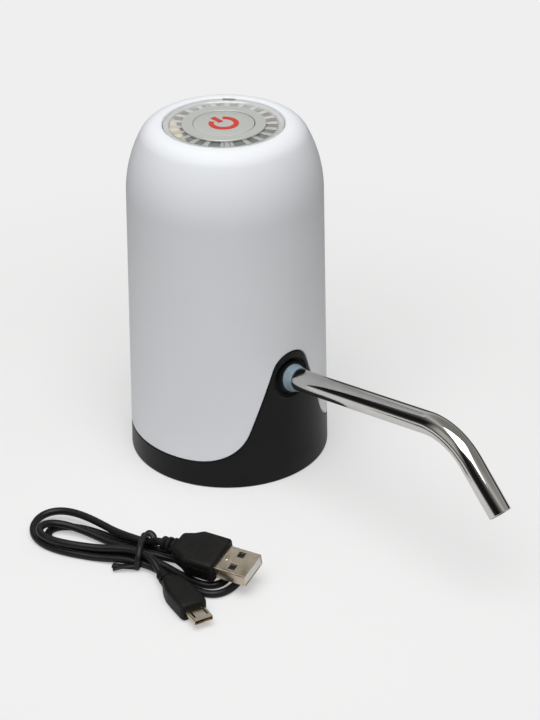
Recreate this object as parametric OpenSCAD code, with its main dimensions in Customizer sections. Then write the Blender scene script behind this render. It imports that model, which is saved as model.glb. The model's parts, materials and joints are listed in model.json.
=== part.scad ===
// Electric water jug pump: a battery pump that sits on the neck of a water jug,
// with its charging lead tied in a hank beside it.
// Millimetres, +Z up. The origin is the middle of the neck socket's mouth and
// the spout leans out along +X.

/* [Body] */
// Diameter of the body where it stands
body_d = 73; // [71:0.5:78]
// Diameter of the body where the shoulder starts
shoulder_d = 70; // [67:0.5:70]
// Overall height
body_h = 128; // [126:0.5:134]
// Height of the curved shoulder, measured down from the rim
shoulder_drop = 26; // [20:1:32]
// Diameter of the flat round the panel
flat_d = 45; // [44:0.2:47]
// Radius that rounds the top's edge
crown_r = 8; // [6:0.5:9]
// Wall of the outer shell and of the base's skin
wall = 2.2; // [1.8:0.1:2.5]

/* [Base] */
// Height of the black band round the foot
band_h = 10; // [7:0.5:13]
// Height of the tip of the base's tongue
tongue_h = 51.3; // [50:0.1:52]
// Radius of the tongue's arched tip
tongue_arch_r = 8; // [7.8:0.1:9]
// Lean of the tongue's flanks from upright, in degrees
tongue_flank = 20.2; // [17:0.1:22]
// Radius of the sweep from the flanks into the band
tongue_sweep_r = 18; // [14:0.5:22]
// Gap of the parting line between shell and base
part_gap = 0.25; // [0.15:0.05:0.4]
// Thickness of the foot's flange
foot_t = 2.4; // [1.8:0.1:3]

/* [Neck socket] */
// Bore that slips over the jug's neck
neck_d = 56; // [54:0.5:58]
// Depth of the socket
neck_depth = 26; // [23:0.5:27]
// Wall of the socket
neck_wall = 2; // [1.6:0.1:2.4]
// Thickness of the socket's ceiling
ceiling_t = 2.5; // [2.2:0.1:3]
// Bore of the well that the intake nipple hangs in
well_d = 13; // [12:0.5:14]
// Depth of the well above the ceiling's underside
well_depth = 10; // [9:0.5:11]
// Wall and roof of the well
well_wall = 1.5; // [1.2:0.1:2]

/* [Spout] */
// Outside diameter of the steel spout
spout_d = 8; // [7.6:0.1:8.4]
// Wall of the spout
spout_wall = 0.5; // [0.4:0.1:0.8]
// Rise of the spout's straight run, in degrees
spout_tilt = 10.5; // [8:0.5:12]
// Height of the spout's axis at the body's surface
spout_z = 41.1; // [40.5:0.1:42]
// Straight run from the body's surface to the bend
spout_run = 71; // [55:0.2:80]
// Radius of the bend's middle line
spout_bend_r = 25; // [18:0.5:32]
// Turn of the bend, in degrees
spout_bend = 53; // [35:0.5:60]
// Straight tip after the bend
spout_tip = 19; // [14:0.2:28]
// Length of spout inside the sleeve
spout_insert = 12.5; // [10:0.5:13]
// Diameter of the sleeve's visible flange
flange_d = 10; // [9.8:0.1:10.6]
// Flange beyond the body's surface
flange_proud = 1.5; // [0.6:0.1:2]
// Diameter of the sleeve inside its socket
sleeve_d = 9.5; // [9.2:0.1:9.7]
// Diameter of the round recess in the tongue
recess_d = 15; // [14:0.2:16]
// Depth of that recess along the spout's axis
recess_depth = 1.8; // [1.2:0.1:2.2]

/* [Control panel] */
// Diameter of the hole in the top of the shell
panel_d = 42.8; // [41:0.2:44]
// Outside diameter of the silver trim disc
trim_d = 29.6; // [28:0.2:31]
// Diameter of the push button
button_d = 21.5; // [20:0.1:22.5]
// Outside diameter of the power mark
mark_d = 10.6; // [8:0.2:13]
// Travel of the button
button_travel = 0.6; // [0.3:0.1:0.8]
// Facets round the light ring
facets = 20; // [12:2:28]

/* [Pump and motor] */
// Distance between the two gears' axes
gear_c = 10; // [9.6:0.1:10.4]
// Teeth on each gear
gear_teeth = 12; // [10:1:14]
// Face width of the gears
gear_w = 8; // [6:0.5:9]
// Diameter of the motor's can
motor_d = 24.4; // [23:0.2:25]
// Length of the motor's can
motor_l = 30.8; // [27:0.2:32]
// Diameter of the motor's shaft
shaft_d = 2; // [1.6:0.1:2.4]

/* [Battery] */
// Diameter of the cell
cell_d = 18.4; // [18:0.1:18.8]
// Length of the cell
cell_l = 65; // [62:0.5:66]

/* [Charging lead] */
// Diameter of the lead's cord
cord_d = 2.7; // [2.2:0.1:2.8]
// Width of the large plug's grip
plug_a_w = 15.6; // [14:0.2:16.4]
// Thickness of the large plug's grip
plug_a_t = 8; // [7:0.2:8.4]
// Width of the small plug's grip
plug_b_w = 9.6; // [9:0.2:10.6]
// Thickness of the small plug's grip
plug_b_t = 7; // [6:0.2:7.2]

/* [Hidden] */
$fn = 64;
eps = 0.01;

// Shell profile
shoulder_z = body_h - shoulder_drop;
crown_z = body_h - crown_r;
crown_in = (shoulder_d - flat_d) / 2 - crown_r;
crown_off = ((crown_z - shoulder_z) ^ 2 + crown_in ^ 2) / (2 * crown_in);
shoulder_arc = crown_r + crown_off;
shoulder_cx = shoulder_d / 2 - shoulder_arc;
shoulder_end = asin((crown_z - shoulder_z) / crown_off);
shoulder_steps = 12;
crown_steps = 9;
panel_r = panel_d / 2;
split_z = band_h + part_gap;
sweep_steps = 12;
arch_steps = 10;
seat_drop = 5.5;
seat_z = body_h - seat_drop;
ledge_t = 2;
ledge_w = 1.8;
ledge_r = panel_r - ledge_w;

// Heights of the stack on the socket's ceiling
ceiling_z = neck_depth + ceiling_t;
well_x = -11;
well_roof_z = neck_depth + well_depth + well_wall;
nipple_d = 8;
nipple_drop = 9;
nipple_shank_d = 10;
nipple_flange_d = 12;
nipple_flange_t = 1.8;
nozzle_d = 6;
nozzle_bore = 4;
nozzle_l = 7.5;
nipple_top = well_roof_z + nipple_flange_t + nozzle_l;
hose_d = 7.6;
hose_slack = 0.05;
hose_bend_r = 8;
hose_seat = 0.4;
frame_t = 3;
nozzle_gap = 1;
pump_z = nipple_top + nozzle_gap + nozzle_l;
frame_z = pump_z - frame_t;
frame_room = 4;
frame_r = shoulder_d / 2 - frame_room;
cover_t = 3;
chamber_z = pump_z + cover_t;
end_play = 0.15;
chamber_h = gear_w + 2 * end_play;
roof_t = 4;
motor_z = chamber_z + chamber_h + roof_t;
motor_top = motor_z + motor_l;

// Gears
port_reach = 5.5;
pump_x = well_x + port_reach;
outlet_x = pump_x + port_reach;
drive_at = [pump_x, gear_c / 2];
idler_at = [pump_x, -gear_c / 2];
gear_pitch_r = gear_c / 2;
gear_module = gear_c / gear_teeth;
gear_tip_r = gear_pitch_r + 0.8 * gear_module;
gear_root_r = gear_pitch_r - 1.1 * gear_module;
gear_press = 25;
gear_base_r = gear_pitch_r * cos(gear_press);
gear_backlash = 0.12;
gear_slack = 0.1;
gear_steps = 5;
chamber_r = gear_tip_r + gear_slack;
pump_r = 9;
pin_d = 2.5;
pin_bite = 1.4;
pin_room = 0.1;
motor_seat_t = 2;
run_slack = 0.03;

// Spout
spout_x = body_r(spout_z);
fit_slack = 0.05;
bend_step = 0.02;
bend_bite = 0.4;
lip_t = 1.4;
lip_back = recess_depth + lip_t;
boss_r = 9.5;
boss_l = 12;
socket_d = 14;
sleeve_end = spout_insert + 0.5;
socket_room = 1;
socket_end = sleeve_end + socket_room;
socket_back = 2;
barb_l = 8;
barb_end = socket_end + socket_back + barb_l;
hose_end_x = hose_bend_r * (1 + sin(spout_tilt));
hose_end_s = (outlet_x + hose_end_x - spout_x) / cos(spout_tilt);
hose_centre_z = spout_z + hose_end_s * sin(spout_tilt) + hose_bend_r * cos(spout_tilt);

// Top panel
carrier_t = 1.8;
ring_z = seat_z + carrier_t;
ring_t = 1.3;
ring_slack = 0.2;
hub_t = 2.8;
trim_t = 0.6;
facet_t = 1.3;
lip_w = 0.7;
lip_sunk = 0.3;
lip_top = body_h - lip_sunk;
button_t = 1.1;
button_sunk = 0.1;
button_top = ring_z + hub_t + trim_t - button_sunk;
stem_d = 6.4;
stem_slack = 0.1;
mark_t = 0.12;
mark_line = 1.8;
mark_gap = 34;
board_drop = 6.5;
board_z = seat_z - board_drop;
board_t = 1.6;
board_r = 17.5;
skirt_t = 1.6;
skirt_in = 2;
skirt_r = panel_r - skirt_in;
skirt_below = 1.5;
board_boss_r = 14.2;
board_boss_d = 4.8;
board_bosses = [0, 120, 240];
led_r = 15.5;
led_count = 6;
led_w = 3;
led_t = 1.4;
switch_w = 6;
switch_t = 3.4;
plunger_d = 3.4;
plunger_bite = 0.4;
plunger_room = 0.2;
plunger_proud = 1;
plunger_z = board_z + board_t + switch_t + plunger_proud;
chip = [6, 5, 1.6];
chip_at = [-7, -6.5];
coil_d = 6;
coil_t = 2.4;
coil_at = [8, 8];
capacitor = [2, 1.2, 1];
capacitors_at = [[5, 0], [5, 2.5]];

// Battery
cell_at = [11.5, -17.5];
cell_slack = 0.3;
cell_gap = 5.8;
tab_t = 0.2;
tab_w = 5;
cell_top = board_z - cell_gap;
cell_z = cell_top - cell_l;
cup_wall = 1.5;
cup_floor = 2;
cup_r = cell_d / 2 + cell_slack + cup_wall;
cap_d = 6;
cap_t = 0.8;
lead_d = 1.4;
lead_turn = 120;
plus_r = 8;
lead_room = 0.9;
minus_r = cell_d / 2 + lead_d / 2 + lead_room;

// Motor
can_t = 1;
nose_d = 6;
nose_l = 1.3;
bush_d = 4;
end_cap_t = 2.5;
core_gap = 0.7;
magnet_t = 2;
magnet_gap = 6;
magnet_in = 6;
magnet_l = motor_l - 13;
core_in = 5;
core_l = motor_l - 11;
core_r = motor_d / 2 - can_t - fit_slack - magnet_t - core_gap;
shaft_proud = 0.8;
terminal_x = 7;
terminal = [2.4, 0.5, 3.7];
seal_t = 1.4;

// Fasteners and posts
screw_d = 2.4;
screw_slack = 0.05;
head_d = 4.4;
head_t = 1.4;
head_room = 0.2;
head_sink = head_t + 0.1;
screw_room = 0.5;
base_screw_bite = 6;
frame_screw_bite = 9;
leg_d = 6.4;
leg_r = 23;
legs = [leg_r * [cos(80), sin(80)], leg_r * [cos(200), sin(200)], cell_at];
shell_post_d = 6.4;
shell_post_l = 14;
shell_post_in = 6.4;
shell_post_r = shoulder_d / 2 - shell_post_in;
shell_posts = [45, 150, 235];
pump_screw_d = 1.8;
pump_screw_r = (chamber_r + pump_r) / 2;
pump_screw_turn = 35;
pump_screw_bite = 6;
board_screw_bite = 3.5;
small_head_d = 3.4;
small_head_t = 1.2;
pump_screws_at = [for (s = [-1, 1], t = [-1, 1]) [
    pump_x + s * pump_screw_r * cos(pump_screw_turn),
    t * (gear_c / 2 + pump_screw_r * sin(pump_screw_turn))]];

// Charging socket
port_w = 7.5;
port_t = 2.5;
port_l = 5.6;
port_room = 1;
port_board = [13, 14, 1.2];
port_post = 2;
port_z = pump_z + port_post + port_board[2] + port_t / 2;
port_in = 1;
port_x = port_in - body_r(port_z);
port_mid = port_x + port_l / 2 + port_board[0] / 2;
port_post_d = 2.6;
port_post_in = 2;
port_posts = [for (i = [-1, 1], j = [-1, 1])
    [port_mid + i * (port_board[0] / 2 - port_post_in), j * (port_board[1] / 2 - port_post_in)]];
port_tongue = [4.1, 4.1, 0.6];
charge_foot = [port_mid + port_board[0] / 2 - 1.5, 2, pump_z + port_post + port_board[2]];
charge_head = [-15.5, 2, board_z];

// Charging lead: where the tie is and which way the hank lies
hank_at = [44, -75];
hank_turn = 26;
cord_r = cord_d / 2;
strand_step = cord_d + 0.6;
waist_half = 2.4;
waist_lift = 1.1;
waist_ease = 14;
lobe_steps = 14;
cord_sides = 6;
tail_sides = 8;
slot = [for (i = [-1.5:1:1.5]) i * strand_step];
top_slot = strand_step;
top_z = cord_r + waist_lift + strand_step;
// Each lobe: side, reach, fullness, slot in, slot out, layer in, layer out, start and end of its climb,
// tilt, taper
lobes = [
    [-1, 43.6, 6.5, top_slot, slot[0], 1, 0, 22, 137, 4.8, 1.4],
    [1, 36.5, 7.9, slot[0], slot[3], 0, 0, 60, 120, 0, 2],
    [-1, 37.1, 3.8, slot[3], slot[1], 0, 0, 60, 120, -0.1, 1.4],
    [1, 32.2, 5.5, slot[1], slot[2], 0, 0, 60, 120, 0, 2],
    [-1, 38.7, 4.3, slot[2], -top_slot, 0, 1, 0, 87, -0.6, 1.4]];
plug_a_at = [6.9, 1.7, cord_d + 1.6 + plug_a_t / 2];
plug_a_turn = -5;
plug_a_roll = 10.6;
plug_b_at = [11.8, -9.1, plug_b_t / 2];
plug_b_turn = -37;
tail_a = [[waist_half, top_slot, top_z], [3.2, top_slot, top_z], [4.4, 2.9, top_z + 1.1],
    [5.2, 2.3, top_z + 1.9], plug_a_at - heading(plug_a_turn), plug_a_at];
tail_b = [[waist_half, -top_slot, top_z], [4, -top_slot, top_z], [6, -4.9, 5.7], [8, -6.5, 5.2],
    [9.9, -7.6, 4.4], plug_b_at - heading(plug_b_turn), plug_b_at];
relief_l = 6.5;
relief_ribs = 4;
plug_a_l = 17.5;
plug_a_rear_l = 4.5;
plug_a_rear_w = 11.5;
plug_a_flare = 2.5;
plug_b_l = 18;
plug_b_rear_l = 1;
plug_b_rear_w = 6.4;
plug_b_flare = 5;
shell_a = [12, 12, 4.5];
shell_b = [6, 6.9, 1.9];
shell_back = 0.4;
latch = 2.5;
latch_x = 5;
latch_y = 3;
tongue_a = [11.2, 10.8, 1.9];
tongue_b = [4.6, 4.4, 0.6];
tongue_slack = 0.02;
rib_h = 0.3;
sheet_t = 0.3;
tie_w = 2.4;
tie_t = 0.7;
tie_room = 0.25;
tie_up_l = 7;
tie_up_tilt = 35;
tie_out_l = 8;
tie_out_turn = 200;

// Radius of the body's side wall at height z
function body_r(z) = body_d / 2 - (body_d - shoulder_d) / 2 * z / shoulder_z;
// Points of the shoulder's and the top edge's arcs, set in by g, at angle a
function shoulder_pt(g, a) = [shoulder_cx, shoulder_z] + (shoulder_arc - g) * [cos(a), sin(a)];
function crown_pt(g, a) = [flat_d / 2, crown_z] + (crown_r - g) * [cos(a), sin(a)];
function smooth(t) = let(u = min(1, max(0, t))) u * u * (3 - 2 * u);
function unit(v) = v / norm(v);
function heading(a) = [cos(a), sin(a), 0];

// Upper outline of the shell, from the parting line to the panel's hole
shell_outside = concat(
    [[body_r(split_z), split_z]],
    [for (i = [0:shoulder_steps - 1]) shoulder_pt(0, shoulder_end * i / shoulder_steps)],
    [for (i = [0:crown_steps]) crown_pt(0, shoulder_end + (90 - shoulder_end) * i / crown_steps)],
    [[panel_r, body_h]]);
inner_top = acos((panel_r + wall - flat_d / 2) / (crown_r - wall));
shell_inside = concat(
    [[panel_r, seat_z], [ledge_r, seat_z], [ledge_r, seat_z - ledge_t], [panel_r + wall, seat_z - ledge_t]],
    [for (i = [crown_steps:-1:0])
        crown_pt(wall, shoulder_end + (inner_top - shoulder_end) * i / crown_steps)],
    [for (i = [shoulder_steps - 1:-1:0]) shoulder_pt(wall, shoulder_end * i / shoulder_steps)],
    [[body_r(split_z) - wall, split_z]]);

// Half outline of the tongue and band seen along the spout, grown outwards by g, from the band to the tip
function tongue_half(g) = let(
    out = [cos(tongue_flank), sin(tongue_flank)],
    arch = [0, tongue_h - tongue_arch_r],
    sweep_z = band_h + tongue_sweep_r,
    foot = [(arch[1] * out[1] + tongue_arch_r + tongue_sweep_r - sweep_z * out[1]) / out[0], sweep_z])
    concat(
        [[body_d, band_h + g]],
        [for (i = [0:sweep_steps]) let(a = -90 - (90 - tongue_flank) * i / sweep_steps)
            foot + (tongue_sweep_r - g) * [cos(a), sin(a)]],
        [for (i = [0:arch_steps]) let(a = tongue_flank + (90 - tongue_flank) * i / arch_steps)
            arch + (tongue_arch_r + g) * [cos(a), sin(a)]]);

// The space that belongs to the base: the tongue in front and the band all round
module base_space(g) {
    half = tongue_half(g);
    rotate([90, 0, 90]) linear_extrude(body_d) polygon(concat(
        [[-body_d, -1], [body_d, -1]], half,
        [for (i = [len(half) - 2:-1:0]) [-half[i][0], half[i][1]]]));
    translate([-body_d, -body_d, -1]) cube([body_d + eps, 2 * body_d, band_h + g + 1]);
}

module body_solid() {
    rotate_extrude() polygon(concat([[0, 0], [body_r(0), 0]], shell_outside, [[0, body_h]]));
}

// Frame on the spout's axis, with its origin where the axis meets the body's surface
module along_spout() {
    translate([spout_x, 0, spout_z]) rotate([0, -spout_tilt, 0]) children();
}

module rod(r, x0, x1) {
    translate([x0, 0, 0]) rotate([0, 90, 0]) cylinder(r = r, h = x1 - x0);
}

module pipe(r_out, r_in, h) {
    difference() {
        cylinder(r = r_out, h = h);
        translate([0, 0, -eps]) cylinder(r = r_in, h = h + 2 * eps);
    }
}

// Pan-head screw: head below z = 0, shank above, cross recess underneath
module screw(d, l, hd, ht) {
    difference() {
        union() {
            translate([0, 0, -ht]) cylinder(d = hd, h = ht);
            cylinder(d = d, h = l);
        }
        for (a = [0, 90]) rotate([0, 0, a])
            translate([-hd * 0.3, -hd * 0.07, -ht - eps]) cube([hd * 0.6, hd * 0.14, ht / 2]);
    }
}

// Slab with rounded corners, centred in X and Y
module slab(size, r) {
    x = size[0] / 2 - r;
    y = size[1] / 2 - r;
    linear_extrude(size[2]) union() {
        square([size[0], 2 * y], center = true);
        square([2 * x, size[1]], center = true);
        for (i = [-1, 1], j = [-1, 1]) translate([i * x, j * y]) circle(r);
    }
}

// Block along +X from its rear face, rounded in plan and in its end view
module grip(size, r, rear_l, rear_w, flare) {
    rear = rear_w / 2;
    side = size[1] / 2;
    front = rear_l + flare;
    intersection() {
        translate([size[0] / 2, 0, -size[2] / 2]) slab(size, r);
        translate([size[0], 0, 0]) rotate([0, -90, 0]) slab([size[2], size[1], size[0]], r);
        translate([0, 0, -size[2]]) linear_extrude(2 * size[2]) polygon([
            [-1, -rear], [rear_l, -rear], [front, -side], [front, -side - 1], [size[0] + 1, -side - 1],
            [size[0] + 1, side + 1], [front, side + 1], [front, side], [rear_l, rear], [-1, rear]]);
    }
}

// Closed tube along points, with rings square to the path; up is never along it
module sweep(points, r, sides, up) {
    n = len(points);
    along = [for (i = [0:n - 1]) unit(points[min(n - 1, i + 1)] - points[max(0, i - 1)])];
    rings = [for (i = [0:n - 1]) let(
        across = unit(cross(up, along[i])), top = cross(along[i], across))
        for (k = [0:sides - 1]) let(a = 360 * k / sides)
            points[i] + r * (cos(a) * across + sin(a) * top)];
    skin = [for (i = [0:n - 2], k = [0:sides - 1]) let(
        a = i * sides + k, b = i * sides + (k + 1) % sides, c = a + sides, d = b + sides)
        each [[a, c, b], [b, c, d]]];
    first = [for (k = [1:sides - 2]) [0, k, k + 1]];
    last = [for (k = [1:sides - 2]) let(z = (n - 1) * sides) [z, z + k + 1, z + k]];
    polyhedron(rings, concat(skin, first, last));
}

// Body of the pump
module outer_shell() {
    color("whitesmoke") difference() {
        union() {
            rotate_extrude() polygon(concat(shell_outside, shell_inside));
            for (a = shell_posts) rotate([0, 0, a]) translate([0, 0, pump_z]) {
                translate([shell_post_r, 0, 0]) cylinder(d = shell_post_d, h = shell_post_l);
                translate([shell_post_r, -wall / 2, 0])
                    cube([body_r(pump_z + shell_post_l) - wall / 2 - shell_post_r, wall, shell_post_l]);
            }
        }
        base_space(part_gap);
        for (a = shell_posts) rotate([0, 0, a]) translate([shell_post_r, 0, pump_z - eps])
            cylinder(d = screw_d + 2 * screw_slack, h = frame_screw_bite + screw_room);
        translate([-body_r(port_z) - wall, 0, port_z]) rotate([0, 90, 0])
            slab([port_t + 2 * port_room, port_w + 2 * port_room, 3 * wall], port_t / 2);
    }
}

module base_collar() {
    skin_top = tongue_h + wall;
    neck_r = neck_d / 2;
    color("#1b1b1d") difference() {
        union() {
            intersection() {
                rotate_extrude() polygon([[body_r(0) - wall, 0], [body_r(0), 0],
                    [body_r(skin_top), skin_top], [body_r(skin_top) - wall, skin_top]]);
                base_space(0);
            }
            rotate_extrude() polygon([
                [neck_r, 0], [body_r(0) - wall / 2, 0], [body_r(foot_t) - wall / 2, foot_t],
                [neck_r + neck_wall, foot_t], [neck_r + neck_wall, ceiling_z],
                [0, ceiling_z], [0, neck_depth], [neck_r, neck_depth]]);
            translate([well_x, 0, neck_depth])
                cylinder(d = well_d + 2 * well_wall, h = well_depth + well_wall);
            intersection() {
                along_spout() rod(boss_r, -boss_l, boss_l);
                body_solid();
                base_space(0);
            }
        }
        translate([well_x, 0, neck_depth - eps]) cylinder(d = well_d, h = well_depth + eps);
        translate([well_x, 0, neck_depth])
            cylinder(d = nipple_shank_d + 2 * fit_slack, h = well_depth + 2 * well_wall);
        along_spout() {
            rod(recess_d / 2, -recess_depth, boss_l);
            rod(flange_d / 2 + 2 * fit_slack, -lip_back - eps, 0);
            rod(socket_d / 2 + fit_slack, -boss_l - 1, -lip_back);
        }
        for (p = legs) translate([p[0], p[1], neck_depth - eps]) {
            cylinder(d = head_d + 2 * head_room, h = head_sink + eps);
            cylinder(d = screw_d + 4 * screw_slack, h = ceiling_t + 2 * eps);
        }
    }
}

// Chassis that stands on the socket's ceiling and carries pump, cell and charging board
module inner_frame() {
    cup_z = cell_z - tab_t - cup_floor;
    color("gainsboro") difference() {
        union() {
            translate([0, 0, frame_z]) cylinder(r = frame_r, h = frame_t);
            translate([cell_at[0], cell_at[1], cup_z]) cylinder(r = cup_r, h = frame_z + frame_t - cup_z);
            for (i = [0:len(legs) - 1]) translate([legs[i][0], legs[i][1], ceiling_z])
                cylinder(d = leg_d, h = (i == 2 ? cup_z : frame_z) - ceiling_z + eps);
            for (p = port_posts) translate([p[0], p[1], frame_z])
                cylinder(d = port_post_d, h = frame_t + port_post);
        }
        translate([cell_at[0], cell_at[1], cell_z - tab_t])
            cylinder(d = cell_d + 2 * cell_slack, h = cell_l);
        translate([cell_at[0], cell_at[1], cell_z - tab_t]) rotate([0, 0, lead_turn])
            translate([0, -tab_w / 2 - cell_slack, 0])
                cube([cup_r + cup_wall, tab_w + 2 * cell_slack, cell_l]);
        for (x = [well_x, outlet_x]) translate([x, 0, frame_z - eps])
            cylinder(d = hose_d + 2 * hose_seat, h = frame_t + 2 * eps);
        for (p = pump_screws_at) translate([p[0], p[1], frame_z - eps])
            cylinder(d = pump_screw_d + 4 * screw_slack, h = frame_t + 2 * eps);
        for (a = shell_posts) rotate([0, 0, a]) translate([shell_post_r, 0, frame_z - eps])
            cylinder(d = screw_d + 4 * screw_slack, h = frame_t + 2 * eps);
        for (p = legs) translate([p[0], p[1], ceiling_z - eps])
            cylinder(d = screw_d + 2 * screw_slack, h = base_screw_bite + head_sink + screw_room);
    }
}

// Spout and the water's way to it
// Bent rod of radius r: a run from x0 to the origin along X, a turn downwards, and a tail.
// The turn is a hair fuller than the runs, which reach a little way into it.
module bent_rod(r, x0, bend_r, bend, tail) {
    rod(r - bend_step, x0, bend_bite);
    translate([0, 0, -bend_r]) rotate([90, 0, 0]) rotate([0, 0, 90 - bend])
        rotate_extrude(angle = bend) translate([bend_r, 0]) circle(r);
    translate([bend_r * sin(bend), 0, -bend_r * (1 - cos(bend))])
        rotate([0, bend, 0]) rod(r - bend_step, -bend_bite, tail);
}

module spout_tube() {
    r = spout_d / 2;
    start = -spout_run - spout_insert;
    color("silver") along_spout() translate([spout_run, 0, 0]) difference() {
        bent_rod(r, start, spout_bend_r, spout_bend, spout_tip);
        bent_rod(r - spout_wall, start - 1, spout_bend_r, spout_bend, spout_tip + 1);
    }
}

module spout_sleeve() {
    color("#9fb4bd") along_spout() difference() {
        union() {
            rod(flange_d / 2, -lip_back, flange_proud);
            rod(sleeve_d / 2, -sleeve_end, 0);
        }
        rod(spout_d / 2 + fit_slack, -sleeve_end - 1, flange_proud + 1);
    }
}

module outlet_socket() {
    color("white") along_spout() difference() {
        union() {
            rod(socket_d / 2, -socket_end - socket_back, -lip_back - fit_slack);
            rod(boss_r, -socket_end - socket_back, -boss_l);
            rod(nozzle_d / 2, -barb_end, -socket_end);
        }
        rod(sleeve_d / 2 + fit_slack, -socket_end, 0);
        rod(nozzle_bore / 2, -barb_end - 1, 0);
    }
}

module outlet_hose() {
    low = -socket_end - socket_back - hose_seat - hose_end_s;
    high = pump_z - hose_seat - hose_centre_z;
    bend = 90 + spout_tilt;
    color("lightblue") along_spout() translate([hose_end_s, 0, 0]) mirror([1, 0, 0]) mirror([0, 0, 1])
        difference() {
            bent_rod(hose_d / 2, -low, hose_bend_r, bend, high);
            bent_rod(nozzle_d / 2 + hose_slack + bend_step, -low - 1, hose_bend_r, bend, high + 1);
        }
}

module inlet_nipple() {
    color("white") translate([well_x, 0, 0]) difference() {
        union() {
            translate([0, 0, well_roof_z - well_wall - nipple_drop])
                cylinder(d = nipple_d, h = nipple_drop + eps);
            translate([0, 0, well_roof_z - well_wall]) cylinder(d = nipple_shank_d, h = well_wall + eps);
            translate([0, 0, well_roof_z]) cylinder(d = nipple_flange_d, h = nipple_flange_t);
            translate([0, 0, well_roof_z]) cylinder(d = nozzle_d, h = nipple_top - well_roof_z);
        }
        translate([0, 0, neck_depth - nipple_drop]) cylinder(d = nozzle_bore, h = nipple_top);
    }
}

module inlet_hose() {
    bottom = well_roof_z + nipple_flange_t + hose_seat;
    color("lightblue") translate([well_x, 0, bottom])
        pipe(hose_d / 2, nozzle_d / 2 + hose_slack, pump_z - hose_seat - bottom);
}

// Control panel
module light_ring() {
    outer = panel_r - ring_slack;
    pitch = 360 / facets;
    color("#d8dde0", 0.6) translate([0, 0, ring_z]) {
        pipe(outer, button_d / 2 + ring_slack, ring_t);
        pipe(trim_d / 2, button_d / 2 + ring_slack, hub_t);
        pipe(outer, outer - lip_w, lip_top - ring_z);
        for (i = [0:facets - 1]) rotate([0, 0, i * pitch]) intersection() {
            pipe(outer - lip_w / 2, trim_d / 2 - lip_w / 2, ring_t + facet_t);
            linear_extrude(ring_t + facet_t) polygon([[0, 0], [panel_d, 0],
                panel_d * [cos(pitch / 2), sin(pitch / 2)]]);
        }
    }
}

module trim_disc() {
    color("silver") translate([0, 0, ring_z + hub_t]) pipe(trim_d / 2, button_d / 2 + ring_slack, trim_t);
}

module power_button() {
    color("silver") {
        translate([0, 0, button_top - button_t]) cylinder(d = button_d, h = button_t);
        translate([0, 0, plunger_z]) cylinder(d = stem_d, h = button_top - button_t / 2 - plunger_z);
    }
}

// Ring with a gap on the side away from the spout, and a bar through the gap
module power_mark() {
    bar_l = mark_d * 0.45;
    color("orangered") translate([0, 0, button_top]) linear_extrude(mark_t) {
        difference() {
            circle(d = mark_d);
            circle(d = mark_d - 2 * mark_line);
            polygon([[0, 0], for (s = [1, -1]) mark_d * [-cos(mark_gap), s * sin(mark_gap)]]);
        }
        translate([-mark_d / 2 - mark_line / 2, -mark_line / 2]) square([bar_l, mark_line]);
    }
}

module panel_carrier() {
    color("white") difference() {
        union() {
            translate([0, 0, seat_z]) cylinder(r = panel_r - ring_slack, h = carrier_t);
            translate([0, 0, board_z - skirt_below])
                pipe(skirt_r, skirt_r - skirt_t, board_drop + skirt_below + eps);
            for (a = board_bosses) rotate([0, 0, a]) translate([board_boss_r, 0, board_z + board_t])
                cylinder(d = board_boss_d, h = board_drop - board_t + eps);
        }
        translate([0, 0, seat_z - eps]) cylinder(d = stem_d + 2 * stem_slack, h = carrier_t + 2 * eps);
        for (i = [0:led_count - 1]) rotate([0, 0, (i + 0.5) * 360 / led_count])
            translate([led_r, 0, seat_z - eps]) cylinder(d = led_w + 1, h = carrier_t + 2 * eps);
        for (a = board_bosses) rotate([0, 0, a]) translate([board_boss_r, 0, board_z])
            cylinder(d = pump_screw_d + 2 * screw_slack, h = board_t + board_screw_bite + screw_room);
    }
}

module control_board() {
    color("darkgreen") translate([0, 0, board_z]) difference() {
        cylinder(r = board_r, h = board_t);
        for (a = board_bosses) rotate([0, 0, a]) translate([board_boss_r, 0, -eps])
            cylinder(d = pump_screw_d + 4 * screw_slack, h = board_t + 2 * eps);
    }
}

// Controller, coil and capacitors under the board
module board_chips() {
    color("dimgray") {
        translate([chip_at[0], chip_at[1], board_z - chip[2]]) cube(chip);
        translate([coil_at[0], coil_at[1], board_z - coil_t]) cylinder(d = coil_d, h = coil_t);
        for (p = capacitors_at) translate([p[0], p[1], board_z - capacitor[2]]) cube(capacitor);
    }
}

module indicator_leds() {
    color("lightyellow") for (i = [0:led_count - 1]) rotate([0, 0, (i + 0.5) * 360 / led_count])
        translate([led_r - led_w / 2, -led_w / 2, board_z + board_t]) cube([led_w, led_w, led_t]);
}

module tact_switch() {
    color("#303030") translate([0, 0, board_z + board_t]) difference() {
        translate([-switch_w / 2, -switch_w / 2, 0]) cube([switch_w, switch_w, switch_t]);
        translate([0, 0, switch_t - button_travel - plunger_bite - plunger_room])
            cylinder(d = plunger_d + 2 * fit_slack, h = switch_t);
    }
}

module switch_plunger() {
    foot = board_z + board_t + switch_t - plunger_bite;
    color("ivory") translate([0, 0, foot]) cylinder(d = plunger_d, h = plunger_z - foot);
}

module board_screws() {
    color("silver") for (a = board_bosses) rotate([0, 0, a]) translate([board_boss_r, 0, board_z])
        screw(pump_screw_d, board_t + board_screw_bite, small_head_d, small_head_t);
}

// Battery
module battery_cell() {
    color("royalblue") translate([cell_at[0], cell_at[1], cell_z]) cylinder(d = cell_d, h = cell_l);
}

module cell_cap() {
    color("silver") translate([cell_at[0], cell_at[1], cell_top]) cylinder(d = cap_d, h = cap_t);
}

module cell_tabs() {
    color("silver") translate([cell_at[0], cell_at[1], 0]) rotate([0, 0, lead_turn]) {
        translate([-tab_w / 2, -tab_w / 2, cell_top + cap_t])
            cube([tab_w / 2 + plus_r + lead_d / 2, tab_w, tab_t]);
        translate([-tab_w / 2, -tab_w / 2, cell_z - tab_t])
            cube([tab_w / 2 + minus_r + lead_d / 2, tab_w, tab_t]);
    }
}

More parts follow.
